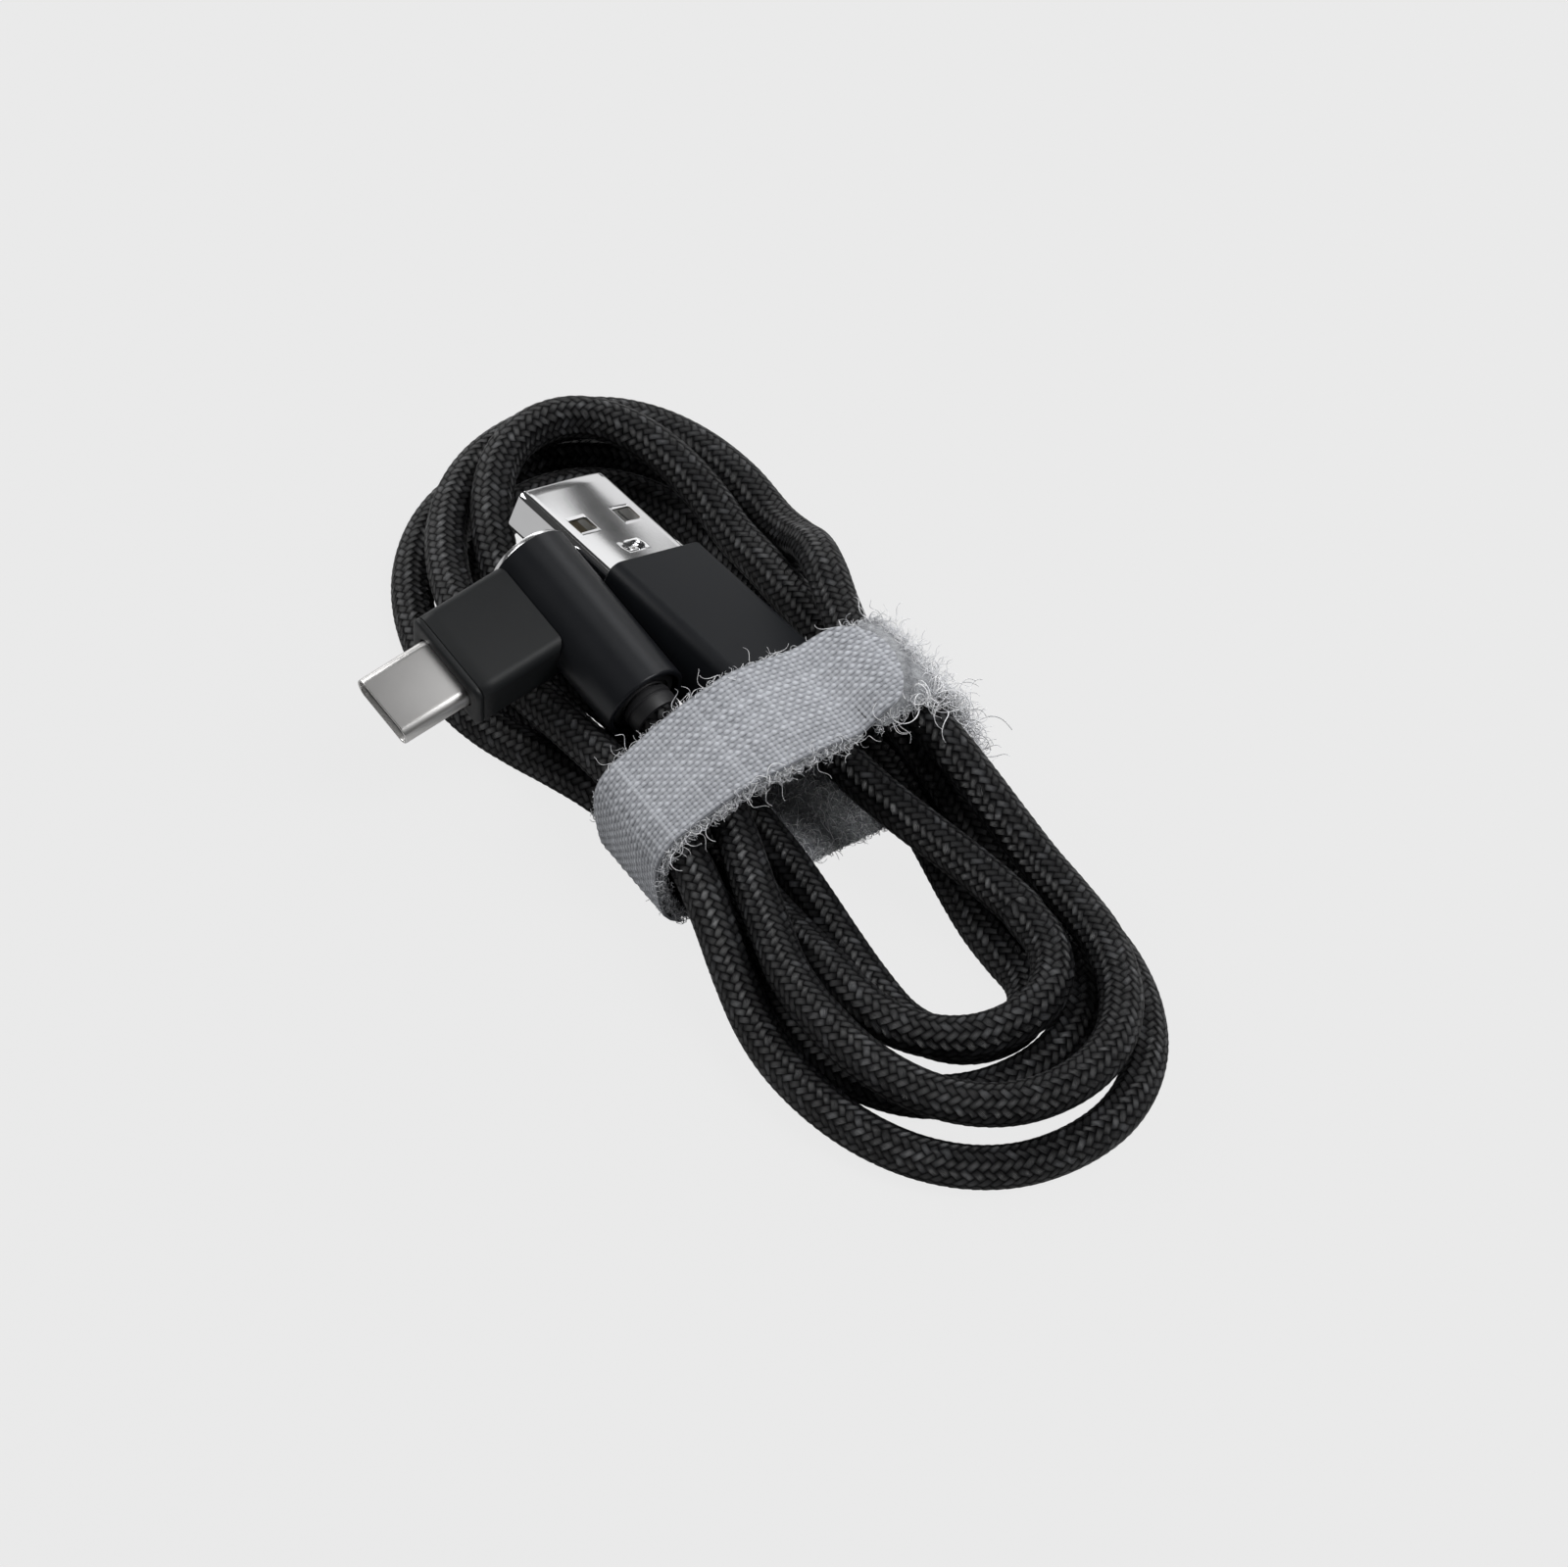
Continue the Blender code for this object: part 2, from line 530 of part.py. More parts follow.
# The stub is cut to a saddle that fits round the body tube
stub_edge = 0.3
outer = rounded_rect(C_STUB_WIDTH, C_STUB_HEIGHT, C_STUB_RADIUS)
edge = rounded_rect(C_STUB_WIDTH - 2 * stub_edge, C_STUB_HEIGHT - 2 * stub_edge, C_STUB_RADIUS)
cavity = rounded_rect(C_SHELL_WIDTH + 2 * FIT, C_SHELL_HEIGHT + 2 * FIT, C_SHELL_HEIGHT / 2 + FIT)
stub = loft("usb_c_stub_housing",
            [along_y(edge, C_SHELL_OUT), along_y(outer, C_SHELL_OUT + stub_edge),
             along_y(outer, C_TUBE_AXIS), along_y(cavity, C_TUBE_AXIS), along_y(cavity, C_SHELL_OUT)],
            BLACK_PLASTIC, plug_c, ring_like=True)
saddle = disc(C_TUBE_RADIUS + FIT, 32)
cut(stub, [loft("saddle_cutter",
                [along_x(saddle, -C_STUB_WIDTH, C_TUBE_AXIS), along_x(saddle, C_STUB_WIDTH, C_TUBE_AXIS)],
                TIN, plug_c)])

tube_inner = C_TUBE_RADIUS - C_TUBE_WALL
tube = pipe("angle_body_tube",
            [(tube_inner, -C_TUBE_FAR), (C_TUBE_RADIUS - C_TUBE_CHAMFER / 2, -C_TUBE_FAR),
             (C_TUBE_RADIUS, -C_TUBE_FAR + C_TUBE_CHAMFER), (C_TUBE_RADIUS, C_TUBE_NEAR - C_TUBE_CHAMFER / 2),
             (C_TUBE_RADIUS - C_TUBE_CHAMFER / 2, C_TUBE_NEAR), (tube_inner, C_TUBE_NEAR)],
            BLACK_METAL, plug_c, C_TUBE_AXIS, 0.0, "x", 32)
cut(tube, [block("board_window_cutter",
                 (-C_BOARD_WIDTH / 2 - FIT, C_TUBE_AXIS - C_TUBE_RADIUS - 1.0, -C_BOARD_THICKNESS / 2 - FIT),
                 (C_BOARD_WIDTH / 2 + FIT, C_TUBE_AXIS, C_BOARD_THICKNESS / 2 + FIT), TIN, plug_c)])

cap_radius = tube_inner - FIT
cap_out = -C_TUBE_FAR + C_CAP_RECESS
loft("tube_end_cap",
     [along_x(disc(cap_radius * 0.7, 24), cap_out - C_CAP_RECESS / 3, C_TUBE_AXIS),
      along_x(disc(cap_radius, 24), cap_out, C_TUBE_AXIS),
      along_x(disc(cap_radius, 24), cap_out + C_CAP_THICKNESS, C_TUBE_AXIS)], BLACK_PLASTIC, plug_c)

# A half-round carrier lies in the tube and holds the board from below
carrier_top = C_BOARD_THICKNESS / 2 + FINE_FIT
carrier_start = math.degrees(math.asin(carrier_top / cap_radius))
carrier = []
for k in range(13):
    angle = math.radians(180 + carrier_start + (180 - 2 * carrier_start) * k / 12)
    carrier.append((cap_radius * math.cos(angle), cap_radius * math.sin(angle)))
loft("tube_board_carrier",
     [along_x(carrier, cap_out + C_CAP_THICKNESS + FIT, C_TUBE_AXIS),
      along_x(carrier, C_BOARD_WIDTH / 2 + 1.0, C_TUBE_AXIS)], BLACK_PLASTIC, plug_c)

ring_out = C_TUBE_NEAR - C_RING_RECESS
ring_in = ring_out - C_RING_THICKNESS
c_crimp_rear = ring_in - CRIMP_TO_NECK / 2
c_crimp_front = c_crimp_rear - CRIMP_LENGTH
c_core_front = c_crimp_front - CORE_BARED
c_cord_face = c_cord_start - FIT
for i in range(4):
    near = board_rear - C_WIRE_PITCH * (3.5 - i)
    far = C_TUBE_AXIS + (i - 1.5) * WIRE_PITCH
    cord("usb_c_wire_%d" % (i + 1),
         [(C_BOARD_WIDTH / 2 + FIT, near, 0.0), (C_BOARD_WIDTH / 2 + 3 * FIT, near, 0.0),
          (c_core_front - 3 * FIT, far, 0.0), (c_core_front - FIT, far, 0.0)],
         WIRE_DIAMETER, TIN, 1, plug_c)
pipe("usb_c_crimp_collar",
     [(relief_bore, c_crimp_front), (relief_bore + CRIMP_WALL, c_crimp_front),
      (relief_bore + CRIMP_WALL, c_crimp_rear), (relief_bore, c_crimp_rear)],
     TIN, plug_c, C_TUBE_AXIS, 0.0, "x")
loft("usb_c_cable_core", [along_x(disc(CORE_DIAMETER / 2), c_core_front, C_TUBE_AXIS),
                          along_x(disc(CORE_DIAMETER / 2), c_cord_face, C_TUBE_AXIS)],
     BLACK_PLASTIC, plug_c)
pipe("tube_end_ring",
     [(relief_neck + FIT, ring_out), (cap_radius, ring_out), (cap_radius, ring_in),
      (relief_neck + FIT, ring_in)], BLACK_PLASTIC, plug_c, C_TUBE_AXIS, 0.0, "x")
c_collar_start = ring_out + FIT
pipe("usb_c_strain_relief",
     [(relief_bore, ring_in), (relief_neck, ring_in),
      (relief_neck, c_collar_start), (collar, c_collar_start),
      (collar - RELIEF_TAPER, c_cord_face), (relief_bore, c_cord_face)],
     BLACK_PLASTIC, plug_c, C_TUBE_AXIS, 0.0, "x")

# ---------------------------------------------------------------- strap
# Inner face of the band, taut round the bundle, from its start under the free end, down the
# right side, along the ground, up the left side and over the plugs: x and z at the far edge,
# then x and z at the near edge
BAND_LINE = [
    (6.5, 14.3, 6.5, 13.8), (11.6, 14.85, 11.6, 14.7), (13.7, 14.55, 13.6, 14.4),
    (14.8, 13.0, 14.6, 12.9), (15.9, 9.6, 15.7, 9.6), (17.3, 6.0, 17.0, 6.0),
    (17.75, 3.6, 17.5, 3.6), (17.45, 2.2, 17.2, 2.2), (16.5, 1.2, 16.3, 1.2), (15.1, 0.9, 15.1, 0.9),
    (-14.5, 0.9, -14.5, 0.9), (-15.7, 1.2, -15.8, 1.2), (-16.7, 2.2, -17.0, 2.2),
    (-17.1, 3.6, -17.6, 3.6), (-17.5, 8.4, -18.1, 8.4), (-17.1, 9.7, -17.7, 9.7),
    (-16.2, 10.65, -16.7, 10.65), (-15.1, 11.2, -15.5, 11.2), (-9.8, 13.7, -9.8, 13.0),
    (-3.0, 15.6, -3.0, 13.6), (1.0, 15.3, 1.0, 13.6), (4.4, 14.9, 4.4, 13.4)]
FACE_FROM = 13
# Underside of the free end, from the slit to its rounded tip: x and y at the far edge, then x and
# y at the near edge
FREE_END_PLAN = [(0.0, 5.2, 0.0, -7.0), (1.9, 5.2, 1.0, -7.0), (3.7, 5.0, 2.1, -7.0),
                 (5.2, 4.2, 3.2, -6.9), (6.3, 2.9, 4.5, -5.8), (6.8, 1.0, 5.7, -3.7)]


def ribbon(name, line, low, high, look, y_far, y_near, pivot=None):
    """A tape between two offsets from a line, ruled from its far edge to its near edge."""
    rings = []
    for station in range(STRAP_STATIONS):
        share = station / (STRAP_STATIONS - 1)
        y = y_far + (y_near - y_far) * share
        flat = [Vector(row[:2]).lerp(Vector(row[2:]), share) for row in line]
        below, above = [], []
        for i, point in enumerate(flat):
            before = flat[max(i - 1, 0)]
            after = flat[min(i + 1, len(flat) - 1)]
            first = (point - before).normalized() if i > 0 else (after - point).normalized()
            second = (after - point).normalized() if i < len(flat) - 1 else first
            along = (first + second).normalized()
            outward = Vector((-along.y, along.x))
            stretch = 1 / max(outward.dot(Vector((-first.y, first.x))), 0.5)
            below.append(point + outward * low * stretch)
            above.append(point + outward * high * stretch)
        section = below + above[::-1]
        rings.append([(p.x, y, p.y) for p in section])
    return loft(name, rings, look, None, False, pivot)


def level(line, x, y):
    """Height of a line's surface over a spot, between its far and its near edge."""
    heights = []
    for pick in (0, 2):
        row = 0
        while row < len(line) - 2 and line[row + 1][pick] < x:
            row += 1
        x0, z0 = line[row][pick], line[row][pick + 1]
        x1, z1 = line[row + 1][pick], line[row + 1][pick + 1]
        heights.append(z0 + (z1 - z0) * (x - x0) / (x1 - x0))
    share = (STRAP_FAR_Y - y) / (STRAP_FAR_Y - STRAP_NEAR_Y)
    return heights[0] + (heights[1] - heights[0]) * share


ribbon("strap_loop_band", BAND_LINE, 0.0, BAND_THICKNESS, PILE, STRAP_FAR_Y, STRAP_NEAR_Y)
face_low = BAND_THICKNESS + FINE_FIT
ribbon("strap_woven_face", BAND_LINE[FACE_FROM:], face_low, face_low + FACE_THICKNESS, WEAVE,
       STRAP_FAR_Y, STRAP_NEAR_Y)

# The free end lies on the band's start and peels up about a line across the strap
overlap = BAND_LINE[:3]
slit_x = BAND_LINE[-1][0]
free_x = slit_x + PEEL_SLIT
hook_lift = BAND_THICKNESS + FIT
free_lift = hook_lift + HOOK_THICKNESS + FINE_FIT
hinge_low = Vector((slit_x + PEEL_SLIT / 2, STRAP_NEAR_Y, BAND_LINE[-1][3] + BAND_THICKNESS))
hinge_high = Vector((slit_x + PEEL_SLIT / 2, STRAP_FAR_Y, BAND_LINE[-1][1] + BAND_THICKNESS))
hinge = (hinge_low + hinge_high) / 2
print("peel hinge, mm:", [round(c, 3) for c in hinge],
      "axis:", [round(c, 4) for c in (hinge_low - hinge_high).normalized()])


def flap(name, first, last, inset, low, high, look):
    """Part of the free end: a sheet on the overlap, narrowed to the rounded tip."""
    rings = []
    for xf, yf, xn, yn in FREE_END_PLAN[first:last]:
        ring = []
        for x, y, lift in ((xf, yf - inset, low), (xf, yf - inset, high),
                           (xn, yn + inset, high), (xn, yn + inset, low)):
            ring.append((free_x + x, y, level(overlap, free_x + x, y) + lift))
        rings.append(ring)
    return loft(name, rings, look, None, False, hinge)


flap("strap_hook_patch", 0, 5, 0.8, hook_lift, hook_lift + HOOK_THICKNESS, BLACK_PLASTIC)
flap("strap_free_end", 0, 6, 0.0, free_lift, free_lift + FREE_END_THICKNESS, WEAVE)
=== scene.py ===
"""Charging cable wound in a hank: finishes, braid, woven strap and plugs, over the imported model."""
import json
import math

import bmesh
import bpy
import numpy as np
from mathutils import Matrix, Vector

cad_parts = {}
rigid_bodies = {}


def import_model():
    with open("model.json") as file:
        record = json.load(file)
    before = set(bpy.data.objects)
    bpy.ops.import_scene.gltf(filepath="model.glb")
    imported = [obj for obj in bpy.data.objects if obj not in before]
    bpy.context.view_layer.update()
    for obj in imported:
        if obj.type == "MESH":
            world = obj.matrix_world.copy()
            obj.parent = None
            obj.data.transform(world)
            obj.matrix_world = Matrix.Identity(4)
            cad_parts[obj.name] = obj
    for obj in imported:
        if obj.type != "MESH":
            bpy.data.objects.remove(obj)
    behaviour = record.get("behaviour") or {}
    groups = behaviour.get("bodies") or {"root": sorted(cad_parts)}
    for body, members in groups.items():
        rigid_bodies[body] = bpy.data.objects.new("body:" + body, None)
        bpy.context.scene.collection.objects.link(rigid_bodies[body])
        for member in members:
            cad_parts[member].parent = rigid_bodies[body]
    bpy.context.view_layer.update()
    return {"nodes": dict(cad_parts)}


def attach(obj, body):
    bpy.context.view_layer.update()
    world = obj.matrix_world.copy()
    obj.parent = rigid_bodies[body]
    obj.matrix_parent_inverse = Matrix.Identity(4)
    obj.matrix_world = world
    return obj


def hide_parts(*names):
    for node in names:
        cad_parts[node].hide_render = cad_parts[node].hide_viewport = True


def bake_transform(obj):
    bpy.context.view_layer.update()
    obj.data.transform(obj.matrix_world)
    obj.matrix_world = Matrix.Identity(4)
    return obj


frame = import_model()
scene = bpy.context.scene

# ---------------------------- studio
# A long lens looks down on the hank from its near left, over a pale floor that reaches past the
# picture on every side. Soft boxes light it under a dim sky, and narrow strips low on the far right
# are there to be mirrored in the polished shell, with a dark band between them.
camera_data = bpy.data.cameras.new("product_camera")
camera_data.sensor_width = 36.0
camera_data.lens = 185.4
camera_data.clip_start = 0.01
camera = bpy.data.objects.new("product_camera", camera_data)
looking = Vector((0.3903, 0.5896, -0.7071)).normalized()
aim, lens_reach = Vector((0.0024, 0.0036, 0.0)), 0.8
camera.location = aim - looking * lens_reach
camera.rotation_euler = looking.to_track_quat("-Z", "Y").to_euler()
scene.collection.objects.link(camera)
scene.camera = camera
scene.view_settings.view_transform = "Standard"


def put(target, **sockets):
    """Fills a node's inputs, given by name, or as i0, i1 by place, with a value or a link."""
    for key, value in sockets.items():
        by_place = key[0] == "i" and key[1:].isdigit()
        socket = target.inputs[int(key[1:]) if by_place else key.replace("_", " ")]
        if isinstance(value, bpy.types.NodeSocket):
            target.id_data.links.new(value, socket)
        else:
            socket.default_value = value


def node(tree, kind, settings=None, **sockets):
    """Adds a node with its settings and inputs."""
    made = tree.nodes.new(kind)
    for key, value in (settings or {}).items():
        setattr(made, key, value)
    put(made, **sockets)
    return made


def maths(operation, *values):
    """One Math node, in the tree of the outputs that it is given; gives its own output."""
    tree = next(value.id_data for value in values if isinstance(value, bpy.types.NodeSocket))
    return node(tree, "ShaderNodeMath", {"operation": operation},
                **{"i%d" % i: value for i, value in enumerate(values)}).outputs[0]


def blank_material(name):
    made = bpy.data.materials.new(name)
    made.use_nodes = True
    return made, made.node_tree, made.node_tree.nodes["Principled BSDF"]


backdrop_grey = (0.838, 0.838, 0.838, 1.0)
floor_mesh = bpy.data.meshes.new("studio_floor")
floor_mesh.from_pydata([(-3, -3, 0), (3, -3, 0), (3, 3, 0), (-3, 3, 0)], [], [(0, 1, 2, 3)])
floor = bpy.data.objects.new("studio_floor", floor_mesh)
scene.collection.objects.link(floor)
floor_paint, tree, shader = blank_material("floor_paint")
put(shader, Base_Color=(0.45, 0.45, 0.45, 1.0), Roughness=0.9, Specular_IOR_Level=0.1)
rays = node(tree, "ShaderNodeLightPath")
glow = node(tree, "ShaderNodeEmission", Color=backdrop_grey, Strength=1.0)
floor_mix = node(tree, "ShaderNodeMixShader", i0=maths("MULTIPLY", rays.outputs["Is Camera Ray"], 0.95),
                 i1=shader.outputs[0], i2=glow.outputs[0])
put(tree.nodes["Material Output"], Surface=floor_mix.outputs[0])
floor_mesh.materials.append(floor_paint)

sky = bpy.data.worlds.new("studio_sky")
scene.world = sky
sky.use_nodes = True
tree = sky.node_tree
put(tree.nodes["Background"], Color=(1.0, 1.0, 1.0, 1.0), Strength=0.22)
plain = node(tree, "ShaderNodeBackground", Color=backdrop_grey, Strength=1.0)
# metals mirror a much dimmer sky, so that the soft boxes and the strips stand out in them
dim = node(tree, "ShaderNodeBackground", Color=(1.0, 1.0, 1.0, 1.0), Strength=0.05)
rays = node(tree, "ShaderNodeLightPath")
lit_sky = node(tree, "ShaderNodeMixShader", i0=rays.outputs["Is Glossy Ray"],
               i1=tree.nodes["Background"].outputs[0], i2=dim.outputs[0])
sky_mix = node(tree, "ShaderNodeMixShader", i0=rays.outputs["Is Camera Ray"],
               i1=lit_sky.outputs[0], i2=plain.outputs[0])
put(tree.nodes["World Output"], Surface=sky_mix.outputs[0])

# name, direction from the hank, distance, width and height in metres, watts
for name, toward, distance, width, height, power in (
        ("soft_box_right", (0.40, -0.43, 0.81), 1.2, 0.5, 0.9, 11.0),
        ("soft_box_back", (-0.35, 0.75, 0.62), 1.4, 0.9, 0.5, 9.0),
        ("soft_box_above", (0.17, 0.15, 0.97), 1.3, 0.6, 0.6, 0.7),
        ("strip_along_tube", (0.66, 0.28, 0.70), 1.3, 0.3, 0.6, 1.4),
        ("strip_far_high", (0.7535, 0.5140, 0.4099), 1.3, 0.8, 0.26, 0.62),
        ("strip_far_low", (0.8130, 0.5546, 0.1771), 1.3, 0.8, 0.22, 0.42),
        ("strip_behind_low", (0.27, 0.95, 0.13), 1.3, 0.8, 0.3, 1.6)):
    lamp = bpy.data.lights.new(name, "AREA")
    lamp.shape = "RECTANGLE"
    lamp.size, lamp.size_y, lamp.energy = width, height, power
    placed = bpy.data.objects.new(name, lamp)
    toward = Vector(toward).normalized()
    placed.location = toward * distance
    placed.rotation_euler = toward.to_track_quat("Z", "Y").to_euler()
    scene.collection.objects.link(placed)

# ---------------------------- braided cable
# One cable about a metre long: a jacketed core in a sleeve of black nylon yarns, plaited two over
# and two under. It is wound in four turns and a half, and its two tails run up to the plugs.
mm = 0.001
cord_diameter = 4.3
yarns_each_way = 14
plait_pitch = 1.0
yarn_height, yarn_sink, lowest_yarn = 0.11, 0.08, 0.01
bend_foot_y = 30.0
squareness = 2.15
waist_y = 1.0


def eased(t):
    t = max(0.0, min(1.0, t))
    return t * t * (3 - 2 * t)


def bend(end, left, right, apex, top, left_z, right_z, lean, points=13):
    """Half a squared-off ellipse from one side of the hank to the other."""
    side = -1 if end == "near" else 1
    foot_y = side * bend_foot_y
    half, middle = (right - left) / 2, (right + left) / 2
    start_z, stop_z = (right_z, left_z) if end == "near" else (left_z, right_z)
    out = []
    for k in range(points):
        share = k / (points - 1)
        across, reach = math.cos(math.pi * share), max(math.sin(math.pi * share), 0.0)
        x = half * math.copysign(abs(across) ** (2 / squareness), across)
        y = abs(apex - foot_y) * reach ** (2 / squareness)
        feet = start_z + (stop_z - start_z) * eased(share)
        out.append((middle - side * x + lean * reach, foot_y + side * y,
                    top * reach + feet * (1 - reach)))
    return out


def side_run(foot, waist, settled, points=6):
    """From a bend's foot to where the strap draws the hank in."""
    out = []
    for k in range(1, points):
        t = k / points
        out.append((foot[0] + (waist[0] - foot[0]) * eased(t), foot[1] + (waist[1] - foot[1]) * t,
                    foot[2] + (waist[2] - foot[2]) * eased(t / settled)))
    return out


# each bend: end, left and right x, apex y, top z, z of the left and the right foot, lean
turns = [("near", -11.5, 8.0, -40.5, 6.2, 6.7, 6.95, 0.8), ("far", -14.7, 14.2, 50.6, 1.7, 1.7, 1.7, 2.6),
         ("near", -6.9, 6.1, -37.7, 1.7, 1.7, 1.7, 0.6), ("far", -10.4, 14.0, 52.2, 9.9, 6.3, 7.0, 3.0),
         ("near", -15.5, 10.8, -43.2, 1.7, 1.7, 2.8, 0.5), ("far", -19.3, 19.4, 56.2, 1.6, 1.7, 1.7, 2.0),
         ("near", -20.2, 15.5, -53.4, 1.7, 2.8, 1.7, -0.2), ("far", -15.9, 19.1, 55.3, 6.3, 7.1, 6.1, 3.3),
         ("near", -16.3, 13.4, -50.0, 6.2, 7.8, 6.3, -0.2)]
# each pass under the strap: x and z; then how early a run settles to it from either side
waists = [(-9.6, 3.5), (10.2, 3.5), (-4.9, 3.5), (12.7, 7.8),
          (-14.3, 3.5), (15.1, 3.6), (-14.8, 8.2), (11.8, 12.4)]
settled_in = [0.72] * 7 + [0.5]
settled_out = [0.72, 0.72, 0.72, 0.9, 0.72, 0.72, 0.72, 0.8]
coil_route = bend(*turns[0])
for row, (waist_x, waist_z), going_in, going_out in zip(turns[1:], waists, settled_in, settled_out):
    arc = bend(*row)
    waist = (waist_x, waist_y, waist_z)
    coil_route += side_run(coil_route[-1], waist, going_in) + [waist]
    coil_route += reversed(side_run(arc[0], waist, going_out))
    coil_route += arc
tail_to_a = [(8.2, -29.5, 6.85), (7.91, -25.6, 6.91), (7.2, -21.19, 7.18), (6.27, -16.78, 7.52),
             (5.34, -12.38, 7.87), (4.63, -7.97, 8.14), (4.34, -3.57, 8.25), (3.75, 0.77, 8.71)]
tail_to_c = [(-16.3, -29.5, 7.8), (-15.7, -24.38, 7.98), (-14.1, -18.76, 8.44), (-12.4, -13.15, 9.04),
             (-10.6, -7.53, 9.64), (-9.3, -1.91, 10.1), (-8.8, 3.71, 10.28), (-9.12, 7.97, 11.33)]
into_plug = 0.6
tail_end_a = np.array(tail_to_a[-1]) + into_plug * np.array((-0.135, 0.9853, 0.1045))
tail_end_c = np.array(tail_to_c[-1]) - into_plug * np.array((0.0747, -0.968, -0.2395))
route = [tuple(tail_end_c)] + tail_to_c[::-1] + coil_route[::-1] + tail_to_a + [tuple(tail_end_a)]


def travelled(line):
    """Distance from the line's start at each of its points."""
    return np.r_[0.0, np.cumsum(np.linalg.norm(np.diff(line, axis=0), axis=1))]


def resampled(values, travel, at):
    """Values that are known at some distances along a line, read off at others."""
    return np.column_stack([np.interp(at, travel, column) for column in values.T])


def smooth_line(points, step):
    """A smooth curve through the points, as evenly spaced stations."""
    p = np.array(points, float)
    keep = np.r_[True, np.linalg.norm(np.diff(p, axis=0), axis=1) > 0.4]
    p = p[keep]
    p = np.vstack([2 * p[0] - p[1], p, 2 * p[-1] - p[-2]])
    fine = []
    for a, b, c, d in zip(p[:-3], p[1:-2], p[2:-1], p[3:]):
        ab, bc, cd = (max(np.linalg.norm(v) ** 0.5, 1e-6) for v in (b - a, c - b, d - c))
        first = bc * ((b - a) / ab - (c - a) / (ab + bc) + (c - b) / bc)
        last = bc * ((c - b) / bc - (d - b) / (bc + cd) + (d - c) / cd)
        for t in np.linspace(0, 1, 24, endpoint=False):
            fine.append((2 * t**3 - 3 * t**2 + 1) * b + (t**3 - 2 * t**2 + t) * first
                        + (3 * t**2 - 2 * t**3) * c + (t**3 - t**2) * last)
    fine.append(p[-2])
    fine = np.array(fine)
    travel = travelled(fine)
    count = max(int(round(travel[-1] / step)), 2)
    at = np.linspace(0, travel[-1], count + 1)
    return resampled(fine, travel, at), travel[-1]


def add_piece(name, points, faces, material, body="hank"):
    """A finished piece: points in metres in the shared frame, riding on a body."""
    mesh = bpy.data.meshes.new(name)
    mesh.from_pydata([tuple(p) for p in points], [], faces)
    mesh.materials.append(material)
    made = bpy.data.objects.new(name, mesh)
    scene.collection.objects.link(made)
    if body:
        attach(made, body)
    return made


def ring_faces(rings, count, joined=False):
    """Quads from each ring of points to the next, and from the last to the first where joined."""
    faces = []
    for i in range(rings if joined else rings - 1):
        here, there = i * count, (i + 1) % rings * count
        for k in range(count):
            n = (k + 1) % count
            faces.append((here + k, here + n, there + n, there + k))
    return faces


def plait(u, v):
    """Relief of the plait, 0 to 1: u is turns round the cable, v is millimetres along it."""
    p, q = yarns_each_way * u + v / plait_pitch, yarns_each_way * u - v / plait_pitch
    i, j = np.floor(p), np.floor(q)
    across = np.where((i + j) % 4 < 2, p - i - 0.5, q - j - 0.5)
    along = np.where((i + j) % 4 < 2, ((q + i) % 4) / 2, ((p + j) % 4) / 2 - 1)
    crown = np.sqrt(np.clip(np.sin(np.pi * np.clip(along, 0, 1)), 0, 1))
    return crown * np.sqrt(np.clip(1 - 3.2 * across**2, 0, 1))


sides, ring_spacing = 24, 0.29
cable_line, cable_length = smooth_line(route, ring_spacing)
heading = np.gradient(cable_line, axis=0)
heading /= np.linalg.norm(heading, axis=1)[:, None]
sideways = np.cross(heading, (0.0, 0.0, 1.0))
sideways /= np.linalg.norm(sideways, axis=1)[:, None]
upward = np.cross(sideways, heading)
rings = len(cable_line)
turn_share = np.arange(sides) / sides
along_cable = np.linspace(0, cable_length, rings)
relief = plait(turn_share[None, :] + 0.5 / sides, along_cable[:, None])
radius = cord_diameter / 2 - yarn_sink + yarn_height * relief
spin = 2 * np.pi * turn_share[None, :, None]
skin = (cable_line[:, None, :] + radius[:, :, None] * (
    -np.cos(spin) * upward[:, None, :] + np.sin(spin) * sideways[:, None, :]))
skin[:, :, 2] = np.maximum(skin[:, :, 2], lowest_yarn)
points = np.vstack([skin.reshape(-1, 3), cable_line[:1], cable_line[-1:]]) * mm
faces, corners_u, corners_v = ring_faces(rings, sides), [], []
for i in range(rings - 1):
    for k in range(sides):
        corners_u += [k, k + 1, k + 1, k]
        corners_v += [i, i, i + 1, i + 1]
all_round, last_ring = rings * sides, (rings - 1) * sides
for k in range(sides):
    n = (k + 1) % sides
    faces += [(all_round, n, k), (all_round + 1, last_ring + k, last_ring + n)]
    corners_u += [k, k + 1, k, k, k, k + 1]
    corners_v += [0] * 3 + [rings - 1] * 3


def coloured(shader, share, dark, light):
    """Base colour between two colours."""
    shade = node(shader.id_data, "ShaderNodeMix", {"data_type": "RGBA"}, i0=share, i6=(*dark, 1.0), i7=(*light, 1.0))
    put(shader, Base_Color=shade.outputs[2])


def embossed(shader, height, depth, strength=1.0):
    """Fine relief in the shading, its depth in metres."""
    bump = node(shader.id_data, "ShaderNodeBump", Strength=strength, Distance=depth, Height=height)
    put(shader, Normal=bump.outputs[0])


